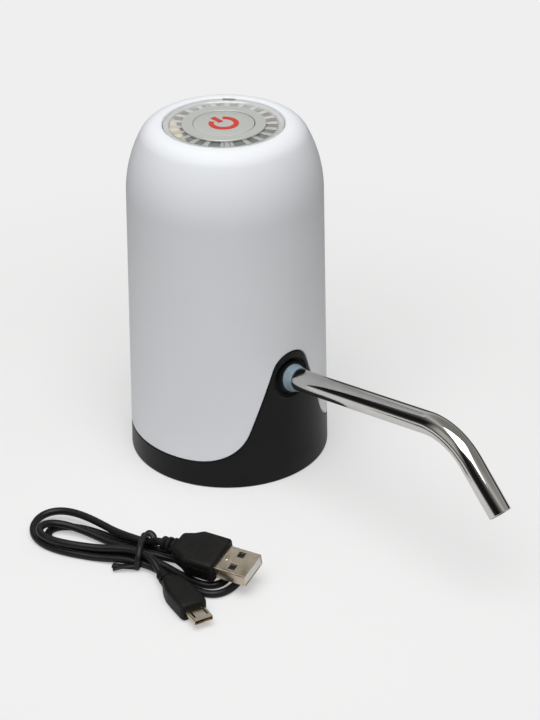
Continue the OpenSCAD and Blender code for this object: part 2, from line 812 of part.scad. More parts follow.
module battery_leads() {
    color("firebrick") translate([cell_at[0], cell_at[1], 0]) rotate([0, 0, lead_turn]) {
        translate([plus_r, 0, cell_top + cap_t + tab_t])
            cylinder(d = lead_d, h = board_z - cell_top - cap_t - tab_t);
        translate([minus_r, 0, cell_z]) cylinder(d = lead_d, h = board_z - cell_z);
    }
}

// Motor, on the drive gear's axis
module on_drive() {
    translate([drive_at[0], drive_at[1], 0]) children();
}

module motor_can() {
    color("silver") on_drive() difference() {
        union() {
            translate([0, 0, motor_z]) cylinder(d = motor_d, h = motor_l);
            translate([0, 0, motor_z - nose_l]) cylinder(d = nose_d, h = nose_l + eps);
        }
        translate([0, 0, motor_z + can_t]) cylinder(d = motor_d - 2 * can_t, h = motor_l);
        translate([0, 0, motor_z - nose_l - eps])
            cylinder(d = bush_d + 2 * fit_slack, h = nose_l + 2 * can_t);
    }
}

module motor_end_cap() {
    color("#202020") on_drive() translate([0, 0, motor_top - end_cap_t])
        pipe(motor_d / 2 - can_t - fit_slack, bush_d / 2 + fit_slack, end_cap_t);
}

module motor_bushes() {
    color("peru") on_drive() {
        translate([0, 0, motor_z - nose_l]) pipe(bush_d / 2, shaft_d / 2 + run_slack, nose_l + can_t);
        translate([0, 0, motor_top - end_cap_t]) pipe(bush_d / 2, shaft_d / 2 + run_slack, end_cap_t);
    }
}

module motor_magnets() {
    magnet_r = motor_d / 2 - can_t - fit_slack;
    color("#404044") on_drive() translate([0, 0, motor_z + magnet_in]) difference() {
        pipe(magnet_r, magnet_r - magnet_t, magnet_l);
        translate([-magnet_gap / 2, -motor_d, -eps]) cube([magnet_gap, 2 * motor_d, motor_l]);
    }
}

module motor_armature() {
    color("chocolate") on_drive() translate([0, 0, motor_z + core_in])
        pipe(core_r, shaft_d / 2 + fit_slack / 2, core_l);
}

module motor_shaft() {
    foot = chamber_z + end_play;
    color("lightgray") on_drive() translate([0, 0, foot])
        cylinder(d = shaft_d, h = motor_top + shaft_proud - foot);
}

module motor_terminals() {
    color("goldenrod") on_drive() for (s = [-1, 1])
        translate([s * terminal_x - terminal[0] / 2, -terminal[1] / 2, motor_top]) cube(terminal);
}

module motor_leads() {
    foot = motor_top + terminal[2];
    color("black") on_drive() for (s = [-1, 1]) translate([s * terminal_x, 0, foot])
        cylinder(d = lead_d, h = board_z - foot);
}

// Gear pump
module pump_outline(r) {
    for (p = [drive_at, idler_at]) translate(p) circle(r);
    translate([pump_x - r, -gear_c / 2]) square([2 * r, gear_c]);
}

module pump_body() {
    color("ghostwhite") difference() {
        union() {
            translate([0, 0, chamber_z]) linear_extrude(chamber_h + roof_t) pump_outline(pump_r);
            on_drive() translate([0, 0, motor_z - motor_seat_t]) cylinder(d = motor_d, h = motor_seat_t);
        }
        for (p = [drive_at, idler_at]) translate([p[0], p[1], chamber_z - eps])
            cylinder(r = chamber_r, h = chamber_h + eps);
        for (x = [well_x, outlet_x]) translate([x, 0, chamber_z - eps])
            cylinder(d = nozzle_bore, h = chamber_h / 2);
        on_drive() translate([0, 0, chamber_z])
            cylinder(d = shaft_d + 4 * run_slack, h = chamber_h + roof_t + 1);
        on_drive() translate([0, 0, motor_z - nose_l - seal_t])
            cylinder(d = nose_d + 2 * fit_slack, h = nose_l + seal_t + eps);
        translate([idler_at[0], idler_at[1], chamber_z])
            cylinder(d = pin_d + 2 * fit_slack, h = chamber_h + pin_bite + pin_room);
        for (p = pump_screws_at) translate([p[0], p[1], chamber_z - eps])
            cylinder(d = pump_screw_d + 2 * screw_slack, h = pump_screw_bite + screw_room);
    }
}

module pump_cover() {
    color("ghostwhite") difference() {
        union() {
            translate([0, 0, pump_z]) linear_extrude(cover_t) pump_outline(pump_r);
            for (x = [well_x, outlet_x]) translate([x, 0, pump_z - nozzle_l])
                cylinder(d = nozzle_d, h = nozzle_l + eps);
        }
        for (x = [well_x, outlet_x]) translate([x, 0, pump_z - nozzle_l - eps])
            cylinder(d = nozzle_bore, h = nozzle_l + cover_t + 2 * eps);
        translate([idler_at[0], idler_at[1], chamber_z - pin_bite - pin_room])
            cylinder(d = pin_d + 2 * fit_slack, h = cover_t);
        for (p = pump_screws_at) translate([p[0], p[1], pump_z - eps])
            cylinder(d = pump_screw_d + 4 * screw_slack, h = cover_t + 2 * eps);
    }
}

// Half angle of a tooth at radius r: involute flanks thinned by the backlash
function roll(r) = sqrt(max(0, (r / gear_base_r) ^ 2 - 1)) * 180 / PI - acos(min(1, gear_base_r / r));
function tooth_half(r) = 90 / gear_teeth - gear_backlash / gear_pitch_r * 90 / PI
    + roll(gear_pitch_r) - roll(r);

module gear(bore) {
    pitch = 360 / gear_teeth;
    radii = [for (i = [0:gear_steps]) max(gear_base_r, gear_root_r)
        + (gear_tip_r - max(gear_base_r, gear_root_r)) * i / gear_steps];
    foot = tooth_half(radii[0]);
    outline = [for (t = [0:gear_teeth - 1]) each concat(
        [gear_root_r * [cos(t * pitch - foot), sin(t * pitch - foot)]],
        [for (r = radii) let(a = t * pitch - tooth_half(r)) r * [cos(a), sin(a)]],
        [for (i = [gear_steps:-1:0]) let(r = radii[i], a = t * pitch + tooth_half(r)) r * [cos(a), sin(a)]],
        [gear_root_r * [cos(t * pitch + foot), sin(t * pitch + foot)]])];
    translate([0, 0, chamber_z + end_play]) difference() {
        linear_extrude(gear_w) polygon(outline);
        translate([0, 0, -eps]) cylinder(d = bore, h = gear_w + 2 * eps);
    }
}

module drive_gear() {
    color("gold") on_drive() rotate([0, 0, -90]) gear(shaft_d + fit_slack);
}

module idler_gear() {
    color("khaki") translate([idler_at[0], idler_at[1], 0]) rotate([0, 0, 90 + 180 / gear_teeth])
        gear(pin_d + 2 * run_slack);
}

module idler_pin() {
    color("silver") translate([idler_at[0], idler_at[1], chamber_z - pin_bite])
        cylinder(d = pin_d, h = chamber_h + 2 * pin_bite);
}

module shaft_seal() {
    color("#303030") on_drive() translate([0, 0, motor_z - nose_l - seal_t])
        pipe(nose_d / 2, shaft_d / 2 + run_slack, seal_t - fit_slack);
}

module pump_screws() {
    color("silver") for (p = pump_screws_at) translate([p[0], p[1], frame_z])
        screw(pump_screw_d, frame_t + cover_t + pump_screw_bite, small_head_d, small_head_t);
}

// Charging socket at the back
module charge_board() {
    color("darkgreen") translate([port_mid - port_board[0] / 2, -port_board[1] / 2, pump_z + port_post])
        cube(port_board);
}

module charge_socket() {
    color("silver") translate([port_x, -port_w / 2, port_z - port_t / 2]) {
        difference() {
            cube([port_l, port_w, port_t]);
            translate([-eps, sheet_t, sheet_t])
                cube([port_l - shell_back, port_w - 2 * sheet_t, port_t - 2 * sheet_t]);
        }
        translate([port_l - port_tongue[0] - shell_back / 2, (port_w - port_tongue[1]) / 2,
            (port_t - port_tongue[2]) / 2]) cube(port_tongue);
    }
}

module charge_leads() {
    foot = charge_foot;
    head = charge_head;
    knee = board_z - 10;
    color("black") for (s = [-1, 1]) sweep([
        [foot[0], s * foot[1], foot[2]],
        [foot[0], s * foot[1], knee - 12],
        [foot[0], s * foot[1], knee - 2],
        [foot[0] * 0.75 + head[0] * 0.25, s * head[1], knee + 2],
        [foot[0] * 0.25 + head[0] * 0.75, s * head[1], knee + 5],
        [head[0], s * head[1], knee + 8],
        [head[0], s * head[1], head[2]]], lead_d / 2, tail_sides, [0, 1, 0]);
}

module base_screws() {
    color("silver") for (p = legs) translate([p[0], p[1], neck_depth + head_sink])
        screw(screw_d, ceiling_t + base_screw_bite, head_d, head_t);
}

module frame_screws() {
    color("silver") for (a = shell_posts) rotate([0, 0, a]) translate([shell_post_r, 0, frame_z])
        screw(screw_d, frame_t + frame_screw_bite, head_d, head_t);
}

// Charging lead
module hank_frame() {
    translate([hank_at[0], hank_at[1], 0]) rotate([0, 0, hank_turn]) children();
}

// Scale that makes a lobe of some taper as wide as its fullness
function fullest(taper) = (1 + taper) ^ ((1 + taper) / 2) / taper ^ (taper / 2);
// One lobe of the hank, from its slot in the waist round its end and back
function lobe(k, n) = [for (i = [0:n]) let(
    a = 180 * i / n,
    half = (k[3] - k[4]) / 2,
    full = sign(half) * fullest(k[10]) * k[2],
    open = sin(a) ^ k[10],
    out = (k[1] - waist_half) * sin(a),
    layer = k[5] + (k[6] - k[5]) * smooth((a - k[7]) / (k[8] - k[7])))
    [k[0] * (waist_half + out),
        (k[3] + k[4]) / 2 + cos(a) * (half + full * open) + k[9] * open,
        cord_r + waist_lift * (1 - smooth(out / waist_ease)) + strand_step * layer]];

// The whole hank: its ends run straight through the waist to the tails
function hank_points(n) = concat(
    [[waist_half, top_slot, top_z]],
    [for (k = lobes) each lobe(k, n)],
    [[waist_half, -top_slot, top_z]]);

// Least gap between strands that are more than some points apart along the cord
function least_gap(p, skip) = min([for (i = [0:len(p) - skip - 1], j = [i + skip:len(p) - 1])
    norm(p[i] - p[j])]) - cord_d;

module cable_hank() {
    echo(least_gap_in_hank = least_gap(hank_points(56), 12));
    color("#161616") hank_frame() sweep(hank_points(lobe_steps), cord_r, cord_sides, [0, 0, 1]);
}

module cable_tail_a() {
    color("#161616") hank_frame() sweep(tail_a, cord_r, tail_sides, [0, 0, 1]);
}

module cable_tail_b() {
    color("#161616") hank_frame() sweep(tail_b, cord_r, tail_sides, [0, 0, 1]);
}

// Twist tie round the waist, with its two ends sticking out
module cable_tie() {
    low = waist_lift - tie_room;
    high = top_z + cord_r + tie_room;
    wide = slot[3] + cord_r + tie_room;
    narrow = top_slot + cord_r + tie_room;
    function loop(g) = [[-wide - g, low - g], [wide + g, low - g], [wide + g, low + cord_d + g],
        [narrow + g, high + g], [-narrow - g, high + g], [-wide - g, low + cord_d + g]];
    color("#101010") hank_frame() {
        rotate([90, 0, 90]) translate([0, 0, -tie_w / 2]) linear_extrude(tie_w) difference() {
            polygon(loop(tie_t));
            polygon(loop(0));
        }
        translate([-tie_w / 2, narrow - tie_t, high]) rotate([tie_up_tilt, 0, 0])
            cube([tie_w, tie_up_l, tie_t]);
        translate([0, -wide - tie_t, low - tie_t]) rotate([0, 0, tie_out_turn]) translate([-tie_t, 0, 0])
            cube([tie_out_l, tie_t, tie_w]);
    }
}

// Plug frames, from the rear of each strain relief along the plug
module at_plug_a() {
    hank_frame() translate(plug_a_at) rotate([plug_a_roll, 0, plug_a_turn]) children();
}

module at_plug_b() {
    hank_frame() translate(plug_b_at) rotate([0, 0, plug_b_turn]) children();
}

// Tapered relief with ribs round it
module relief(r0, r1, l) {
    pitch = l / relief_ribs;
    rotate([0, 90, 0]) {
        cylinder(r1 = r0, r2 = r1 - rib_h, h = l);
        for (i = [0:relief_ribs - 1]) translate([0, 0, (i + 0.5) * pitch])
            cylinder(r = r0 + (r1 - r0) * (i + 1) / relief_ribs, h = pitch / 2);
    }
}

module plug_a_relief() {
    color("#181818") at_plug_a() relief(cord_r + 0.2, cord_r + 1.4, relief_l);
}

module plug_a_grip() {
    color("#181818") at_plug_a() translate([relief_l, 0, 0])
        grip([plug_a_l, plug_a_w, plug_a_t], 2, plug_a_rear_l, plug_a_rear_w, plug_a_flare);
}

module plug_a_shell() {
    rear = relief_l + plug_a_l;
    color("silver") at_plug_a() translate([rear, -shell_a[1] / 2, -shell_a[2] / 2]) difference() {
        cube(shell_a);
        translate([shell_back, sheet_t, sheet_t])
            cube([shell_a[0], shell_a[1] - 2 * sheet_t, shell_a[2] - 2 * sheet_t]);
        for (y = [-latch_y, latch_y]) translate([latch_x, shell_a[1] / 2 + y - latch / 2, -1])
            cube([latch, latch, shell_a[2] + 2]);
    }
}

module plug_a_tongue() {
    rear = relief_l + plug_a_l + shell_back;
    roof = shell_a[2] / 2 - sheet_t - tongue_slack;
    color("white") at_plug_a() translate([rear, -tongue_a[1] / 2, roof - tongue_a[2]]) cube(tongue_a);
}

module plug_b_relief() {
    color("#181818") at_plug_b() relief(cord_r + 0.2, cord_r + 1.2, relief_l);
}

module plug_b_grip() {
    color("#181818") at_plug_b() translate([relief_l, 0, 0])
        grip([plug_b_l, plug_b_w, plug_b_t], 1.8, plug_b_rear_l, plug_b_rear_w, plug_b_flare);
}

module plug_b_shell() {
    rear = relief_l + plug_b_l;
    color("silver") at_plug_b() translate([rear, -shell_b[1] / 2, -shell_b[2] / 2]) difference() {
        cube(shell_b);
        translate([shell_back, sheet_t, sheet_t])
            cube([shell_b[0], shell_b[1] - 2 * sheet_t, shell_b[2] - 2 * sheet_t]);
    }
}

module plug_b_tongue() {
    rear = relief_l + plug_b_l + shell_back;
    low = sheet_t + tongue_slack - shell_b[2] / 2;
    color("#202020") at_plug_b() translate([rear, -tongue_b[1] / 2, low]) cube(tongue_b);
}

outer_shell();
base_collar();
inner_frame();
spout_tube();
spout_sleeve();
outlet_socket();
outlet_hose();
inlet_nipple();
inlet_hose();
light_ring();
trim_disc();
power_button();
power_mark();
panel_carrier();
control_board();
board_chips();
indicator_leds();
tact_switch();
switch_plunger();
board_screws();
battery_cell();
cell_cap();
cell_tabs();
battery_leads();
motor_can();
motor_end_cap();
motor_magnets();
motor_armature();
motor_shaft();
motor_bushes();
motor_terminals();
motor_leads();
pump_body();
pump_cover();
drive_gear();
idler_gear();
idler_pin();
shaft_seal();
pump_screws();
charge_board();
charge_socket();
charge_leads();
base_screws();
frame_screws();
cable_hank();
cable_tail_a();
cable_tail_b();
cable_tie();
plug_a_relief();
plug_a_grip();
plug_a_shell();
plug_a_tongue();
plug_b_relief();
plug_b_grip();
plug_b_shell();
plug_b_tongue();
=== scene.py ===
"""Looks of an electric water jug pump and its charging lead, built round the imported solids."""
import json
import math

import bpy
from mathutils import Matrix, Vector


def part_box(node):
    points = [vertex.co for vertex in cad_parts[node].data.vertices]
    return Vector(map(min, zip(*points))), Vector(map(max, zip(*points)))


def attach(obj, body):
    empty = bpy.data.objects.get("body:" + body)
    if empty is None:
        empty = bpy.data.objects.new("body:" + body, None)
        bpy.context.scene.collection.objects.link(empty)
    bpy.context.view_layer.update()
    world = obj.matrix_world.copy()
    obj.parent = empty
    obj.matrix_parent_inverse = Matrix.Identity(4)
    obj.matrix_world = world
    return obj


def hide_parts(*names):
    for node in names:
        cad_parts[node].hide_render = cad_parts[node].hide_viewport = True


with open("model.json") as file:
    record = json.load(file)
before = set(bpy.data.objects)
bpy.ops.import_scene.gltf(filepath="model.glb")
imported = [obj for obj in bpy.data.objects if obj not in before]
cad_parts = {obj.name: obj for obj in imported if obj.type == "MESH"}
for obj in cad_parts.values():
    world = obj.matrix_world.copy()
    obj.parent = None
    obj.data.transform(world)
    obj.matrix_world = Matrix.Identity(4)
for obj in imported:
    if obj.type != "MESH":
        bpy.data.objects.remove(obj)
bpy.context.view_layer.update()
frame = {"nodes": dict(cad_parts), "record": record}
nodes = frame["nodes"]
bpy.context.scene.view_settings.view_transform = "Standard"

# Camera
# The photograph looks down on the pump from the left of its spout, through a long lens and with a trace
# of roll. The aim point is where the middle of the picture meets the table.
eye = Vector((0.5988, -0.4797, 0.4697))
aim = Vector((-0.0339, 0.0482, 0))
camera_roll = math.radians(-0.576)
bpy.ops.object.camera_add(location=eye)
camera = bpy.context.object
camera.data.lens = 120
camera.data.sensor_width = 36
level = (aim - eye).to_track_quat("-Z", "Y").to_matrix()
camera.rotation_euler = (level @ Matrix.Rotation(camera_roll, 3, "Z")).to_euler()
bpy.context.scene.camera = camera


# Table and light
# A pale seamless table under one wide soft box that hangs above and a little towards the camera. Matt
# surfaces are also lit by a plain grey room. Shiny ones mirror a darker room with a white board and a lit
# wall, which draws the black and white stripes along the polished spout.
class Shade:
    """A socket in a node tree. Arithmetic on it adds Math nodes."""

    def __init__(self, tree, socket):
        self.tree = tree
        self.socket = socket

    def make(self, kind, values, stops=(), **settings):
        """Adds a node, sets it up, fills or links its sockets, and returns its first output in use."""
        node = self.tree.nodes.new(kind)
        for key, value in settings.items():
            setattr(node, key, value)
        ramp = getattr(node, "color_ramp", None)
        for i, (at, colour) in enumerate(stops):
            stop = ramp.elements[i] if i < 2 else ramp.elements.new(at)
            stop.position = at
            stop.color = (*colour, 1)
        fill(self.tree, node, values)
        return Shade(self.tree, next(s for s in node.outputs if s.enabled))

    def math(self, operation, *others):
        """The result of one Math node."""
        return self.make("ShaderNodeMath", dict(enumerate((self, *others))), operation=operation)

    def __add__(self, other):
        return self.math("ADD", other)

    def __radd__(self, other):
        return self.math("ADD", other)

    def __sub__(self, other):
        return self.math("SUBTRACT", other)

    def __rsub__(self, other):
        return (self * -1).math("ADD", other)

    def __mul__(self, other):
        return self.math("MULTIPLY", other)

    def __rmul__(self, other):
        return self.math("MULTIPLY", other)

    def noise(self, scale, detail=4, roughness=0.5):
        """Cloudy values about one half, with this many blobs to the metre."""
        return self.make("ShaderNodeTexNoise",
                         {"Vector": self, "Scale": scale, "Detail": detail, "Roughness": roughness})

    def ramp(self, *stops):
        """The colour at this value, from stops of (value, colour)."""
        return self.make("ShaderNodeValToRGB", {"Fac": self}, stops=stops)

    def step(self, low, high):
        """0 below low, 1 above high, and smooth between them."""
        return self.make("ShaderNodeMapRange", {"Value": self, "From Min": low, "From Max": high},
                         interpolation_type="SMOOTHSTEP")

    def mix(self, first, second):
        """The first colour where this value is 0, the second where it is 1."""
        return self.make("ShaderNodeMix", {"Factor": self, "A": first, "B": second}, data_type="RGBA")

    def bump(self, depth):
        """A normal for a surface that stands up by this depth where the value is 1."""
        return self.make("ShaderNodeBump", {"Height": self, "Distance": depth, "Strength": 1})

    def axes(self):
        """The three coordinates of a vector."""
        parts = self.make("ShaderNodeSeparateXYZ", {"Vector": self}).socket.node.outputs
        return [Shade(self.tree, part) for part in parts]


def fill(tree, node, values):
    """Fills or links a node's sockets, by name or by number."""
    for key, value in values.items():
        socket = node.inputs[key] if isinstance(key, int) else \
            next(s for s in node.inputs if s.name == key and s.enabled)
        if isinstance(value, Shade):
            tree.links.new(value.socket, socket)
        elif socket.type == "RGBA":
            socket.default_value = (*value, 1)
        else:
            socket.default_value = value


def source(tree, kind, output):
    """One output of a new node that needs no inputs."""
    return Shade(tree, tree.nodes.new(kind).outputs[output])


def grey(level):
    """A colour without a tint."""
    return (level, level, level)


def finish(name, build):
    """A new material. Its Principled shader takes what build makes of the place, in Object coordinates."""
    material = bpy.data.materials.new(name)
    material.use_nodes = True
    tree = material.node_tree
    place = source(tree, "ShaderNodeTexCoord", "Object")
    fill(tree, tree.nodes["Principled BSDF"], build(place))
    return material


table_size = 6
table_grey = 0.863
paper_grey = 0.825
even_least = 0.45
even_from, even_to = 0.10, 0.24
bounce_grey = 0.74
dim_grey = 0.05
dim_from, dim_to = 0.13, 0.36
bpy.ops.object.select_all(action="DESELECT")
bpy.ops.mesh.primitive_plane_add(size=table_size)
table = bpy.context.object
table.name = "table"


def table_finish(place):
    """Matt paper, the same all over."""
    return {"Base Color": grey(paper_grey), "Roughness": 0.8, "Specular IOR Level": 0.1}


table.data.materials.append(finish("table_paper", table_finish))

# Far from the pump the picture shows an even grey, as on a bright sweep, but little light comes back from
# there. The distances are measured from the pump's axis.
paper = table.data.materials[0].node_tree
around = source(paper, "ShaderNodeTexCoord", "Object")
distance = around.make("ShaderNodeVectorMath", {0: around}, operation="LENGTH")
near_paper = Shade(paper, paper.nodes["Principled BSDF"].outputs[0])
even = distance.make("ShaderNodeEmission", {"Color": grey(table_grey), "Strength": 1})
evenness = even_least + (1 - even_least) * distance.step(even_from, even_to)
shown = distance.make("ShaderNodeMixShader", {0: evenness, 1: near_paper, 2: even})
bounce = distance.make("ShaderNodeBsdfDiffuse", {"Color": grey(bounce_grey)})
dim = distance.make("ShaderNodeEmission", {"Color": grey(dim_grey), "Strength": 1})
lit = distance.make("ShaderNodeMixShader", {0: distance.step(dim_from, dim_to), 1: bounce, 2: dim})
in_picture = source(paper, "ShaderNodeLightPath", "Is Camera Ray")
sweep = distance.make("ShaderNodeMixShader", {0: in_picture, 1: lit, 2: shown})
paper.links.new(sweep.socket, paper.nodes["Material Output"].inputs["Surface"])

world = bpy.data.worlds.new("room")
bpy.context.scene.world = world
world.use_nodes = True
room = world.node_tree
out_x, aside_y, up = source(room, "ShaderNodeTexCoord", "Generated").axes()
room_grey = up.ramp((0.0, grey(0.02)), (0.16, grey(0.03)), (0.40, (0.29, 0.28, 0.27)),
                    (0.80, (0.385, 0.38, 0.375)))

# The mirrored room has an upright white board on the camera's left, and a wall behind on the right that is
# lit in a slanting band.
room_dark = grey(0.012)
wall_slant = 0.55
board_white = (0.55, 0.54, 0.52)
board_across = Vector((0.927, -0.375))
wall = (up + wall_slant * aside_y).ramp(
    (0.0, room_dark), (0.13, grey(0.03)), (0.36, (0.14, 0.14, 0.135)), (0.57, (0.42, 0.41, 0.39)),
    (0.66, (0.65, 0.645, 0.63)), (0.80, (0.40, 0.395, 0.38)), (0.96, (0.26, 0.255, 0.24)))
wall_foot = up.step(0.10, 0.32)
board_off = (board_across.x * out_x + board_across.y * aside_y).math("ABSOLUTE")
board = (1 - board_off.step(0.10, 0.36)) * (-1 * aside_y).step(0.1, 0.4) * (1 - up.step(0.45, 0.75))
mirrored = board.mix(wall_foot.mix(room_dark, wall), board_white)
about = source(room, "ShaderNodeLightPath", "Is Glossy Ray").mix(room_grey, mirrored)
seen = source(room, "ShaderNodeLightPath", "Is Camera Ray").mix(about, grey(table_grey))
room.links.new(seen.socket, room.nodes["Background"].inputs["Color"])

soft_box_size = 1.1
soft_box_energy = 15.8
soft_box_at = Vector((0.335, -0.385, 1.20))
bpy.ops.object.light_add(type="AREA", location=soft_box_at)
soft_box = bpy.context.object
soft_box.data.shape = "SQUARE"
soft_box.data.size = soft_box_size
soft_box.data.energy = soft_box_energy
soft_box.rotation_euler = (-soft_box_at).to_track_quat("-Z", "Y").to_euler()


# Base
# A black moulded collar with a satin skin: a foot that stands on the table, a tongue in front that carries
# the spout, and below the neck socket that slips over the jug. It is screwed to the chassis from beneath.
foot_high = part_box("base_collar")[1]
foot_r = foot_high.x
tongue_h = foot_high.z
shoulder_z = 0.102
shoulder_r = 0.035
skin_t = 0.0022
band_h = 0.010
arch_r = 0.0080
flank = math.radians(20.2)
sweep_r = 0.018
edge_round = 0.00035
arch_z = tongue_h - arch_r
sweep_z = band_h + sweep_r
sweep_y = (arch_z * math.sin(flank) + arch_r + sweep_r - sweep_z * math.sin(flank)) / math.cos(flank)
curve_steps = 16
flank_steps = 14
side_steps = 10
back_steps = 44


def body_r(z):
    """Radius of the body's side at a height."""
    return foot_r + (shoulder_r - foot_r) * z / shoulder_z


def arc(centre, radius, first, last, steps):
    """Points on an arc, with the angles in radians."""
    turns = [first + (last - first) * i / steps for i in range(steps + 1)]
    return [(centre[0] + radius * math.cos(a), centre[1] + radius * math.sin(a)) for a in turns]


def between(first, last, steps):
    """The points of a straight line from first up to, but without, last."""
    return [tuple(a + (b - a) * i / steps for a, b in zip(first, last)) for i in range(steps)]


def parting_line(grow):
    """Turn and height of points all round the body, this far outside the base's edge."""
    arch = arc((0, arch_z), arch_r + grow, math.pi / 2, flank, curve_steps)
    sweep = arc((sweep_y, sweep_z), sweep_r - grow, flank - math.pi, -math.pi / 2, curve_steps)
    front = arch[:-1] + between(arch[-1], sweep[0], flank_steps) + sweep
    half = [(math.asin(y / body_r(z)), z) for y, z in front]
    half += between(half[-1], (math.pi / 2, band_h + grow), side_steps)[1:]
    half += between((math.pi / 2, band_h + grow), (math.pi, band_h + grow), back_steps)
    return half + [(math.pi, band_h + grow)] + [(-a, z) for a, z in half[:0:-1]]


def on_body(line, inset):
    """Points of the line on the body's side, sunk by inset."""
    points = []
    for a, z in line:
        r = body_r(z) - inset
        points.append(Vector((r * math.cos(a), r * math.sin(a), z)))
    return points


def ring(like, radius, z):
    """A level ring with its points at the same turns as those of a line."""
    return [Vector((radius * math.cos(a), radius * math.sin(a), z)) for a, _ in like]


def rise(lower, upper, steps):
    """Rings between two rings, without the two."""
    return [[a.lerp(b, i / steps) for a, b in zip(lower, upper)] for i in range(1, steps)]


def wrap(name, rows):
    """A grid bent round so that its rows are these closed rings and the last row meets the first."""
    columns = len(rows[0])
    bpy.ops.object.select_all(action="DESELECT")
    bpy.ops.mesh.primitive_grid_add(x_subdivisions=columns, y_subdivisions=len(rows))
    piece = bpy.context.object
    piece.name = name
    for v in piece.data.vertices:
        j, i = divmod(v.index, columns + 1)
        v.co = rows[j % len(rows)][i % columns]
    clean(piece)
    return piece


def alone(piece):
    """Selects one piece and nothing else, and makes it the active one."""
    bpy.ops.object.select_all(action="DESELECT")
    bpy.context.view_layer.objects.active = piece
    piece.select_set(True)


def clean(piece):
    """Merges a mesh's doubled points and turns its faces outwards."""
    same_point = 1e-6
    alone(piece)
    bpy.ops.object.mode_set(mode="EDIT")
    bpy.ops.mesh.select_all(action="SELECT")
    bpy.ops.mesh.remove_doubles(threshold=same_point)
    bpy.ops.mesh.dissolve_degenerate(threshold=same_point)
    bpy.ops.mesh.delete_loose()
    bpy.ops.mesh.select_all(action="SELECT")
    bpy.ops.mesh.normals_make_consistent(inside=False)
    bpy.ops.object.mode_set(mode="OBJECT")


def turned(name, profile, steps, seat=Matrix()):
    """A closed outline of (radius, height) points, spun about Z and set in its seat."""
    bpy.ops.object.select_all(action="DESELECT")
    bpy.ops.mesh.primitive_circle_add(vertices=len(profile), fill_type="NOTHING")
    piece = bpy.context.object
    piece.name = name
    for v, (r, z) in zip(piece.data.vertices, profile):
        v.co = (r, 0, z)
    bpy.ops.object.mode_set(mode="EDIT")
    bpy.ops.mesh.select_all(action="SELECT")
    bpy.ops.mesh.spin(steps=steps, angle=2 * math.pi, center=(0, 0, 0), axis=(0, 0, 1))
    bpy.ops.object.mode_set(mode="OBJECT")
    piece.data.transform(seat)
    clean(piece)
    return piece


def modify(piece, kind, **settings):
    """Gives a piece a modifier and applies it."""
    modifier = piece.modifiers.new(kind, kind)
    for key, value in settings.items():
        setattr(modifier, key, value)
    alone(piece)
    bpy.ops.object.modifier_apply(modifier=modifier.name)


def cut(piece, tool):
    """Cuts the tool out of the piece, and throws the tool away."""
    modify(piece, "BOOLEAN", object=tool, solver="EXACT")
    bpy.data.objects.remove(tool)


def join(piece, *others):
    """Makes the others part of the piece."""
    bpy.ops.object.select_all(action="DESELECT")
    for other in (piece, *others):
        other.select_set(True)
    bpy.context.view_layer.objects.active = piece
    bpy.ops.object.join()
    return piece


def dress(piece, material, body, slot, *stands_for, smooth=35):
    """Gives a finished piece its material and its body, and hides the nodes it stands for. The slot is not
    used.
    """
    alone(piece)
    piece.data.materials.clear()
    piece.data.materials.append(material)
    bpy.ops.object.shade_smooth_by_angle(angle=math.radians(smooth))
    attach(piece, body)
    if stands_for:
        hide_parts(*stands_for)


def drill(radius, low, high, seat, steps=96):
    """A plain round cutter."""
    return turned("cutter", [(0, low), (radius, low), (radius, high), (0, high)], steps, seat)


def rounded(inner, outer, inset, steps=4):
    """Offset and inset of the rings that round an edge, from its flank to its face."""
    turns = [math.pi / 2 * i / steps for i in range(steps + 1)]
    return [(inner + (outer - inner) * (1 - math.cos(a)), inset * (1 - math.sin(a))) for a in turns]


neck_r = 0.028
neck_depth = 0.026
ceiling_z = 0.0285
neck_wall = 0.002
foot_t = 0.0024
foot_round = 0.0006
below_edge = (0.0024, 0.0012, 0.0006)
side_rows = 6
level_line = parting_line(0)
base_rows = [ring(level_line, neck_r, foot_round), ring(level_line, neck_r + foot_round, 0)]
base_rows += [ring(level_line, body_r(0) - foot_round * (1 - math.sin(a)), foot_round * (1 - math.cos(a)))
              for a in (0, math.pi / 6, math.pi / 3, math.pi / 2)]
base_edge = [(-grow, 0) for grow in below_edge]
base_edge += [(-grow, inset) for grow, inset in reversed(rounded(0, edge_round, edge_round))]
base_top = [on_body(parting_line(grow), inset) for grow, inset in base_edge]
base_rows += rise(base_rows[-1], base_top[0], side_rows) + base_top
base_rows.append(on_body(parting_line(0), skin_t))
base_rows += [ring(level_line, r, z) for r, z in
              [(body_r(foot_t) - skin_t, foot_t), (neck_r + neck_wall, foot_t),
               (neck_r + neck_wall, ceiling_z), (0, ceiling_z), (0, neck_depth), (neck_r, neck_depth)]]
base = wrap("base", base_rows)

# A recess for the spout, with a collar in it that holds the sleeve's flange.
spout_tilt = math.radians(10.5)
spout_z = 0.0411
spout_root = Vector((body_r(spout_z), 0, spout_z))
along_spout = Matrix.Translation(spout_root) @ Matrix.Rotation(math.pi / 2 - spout_tilt, 4, "Y")
recess_r = 0.0075
recess_depth = 0.0018
recess_from, recess_to = -0.006, 0.012
flange_r = 0.005
bore_r = flange_r + 0.0001
boss_r = 0.0095
boss_back = -0.0045
collar_out = 0.0012
cut(base, drill(recess_r, recess_from, recess_to, along_spout))
seat_ring = turned("seat_ring", [
    (bore_r, boss_back), (boss_r, boss_back), (boss_r, boss_back + 0.0015), (recess_r + 0.0004, -0.0010),
    (recess_r - 0.0001, -0.0010), (recess_r - 0.0007, -0.0014), (bore_r + 0.0009, -recess_depth),
    (bore_r + 0.0006, -recess_depth + 0.0003), (bore_r + 0.0005, collar_out - 0.0004),
    (bore_r + 0.0004, collar_out - 0.0001), (bore_r + 0.0002, collar_out), (bore_r, collar_out - 0.0002)],
    96, along_spout)

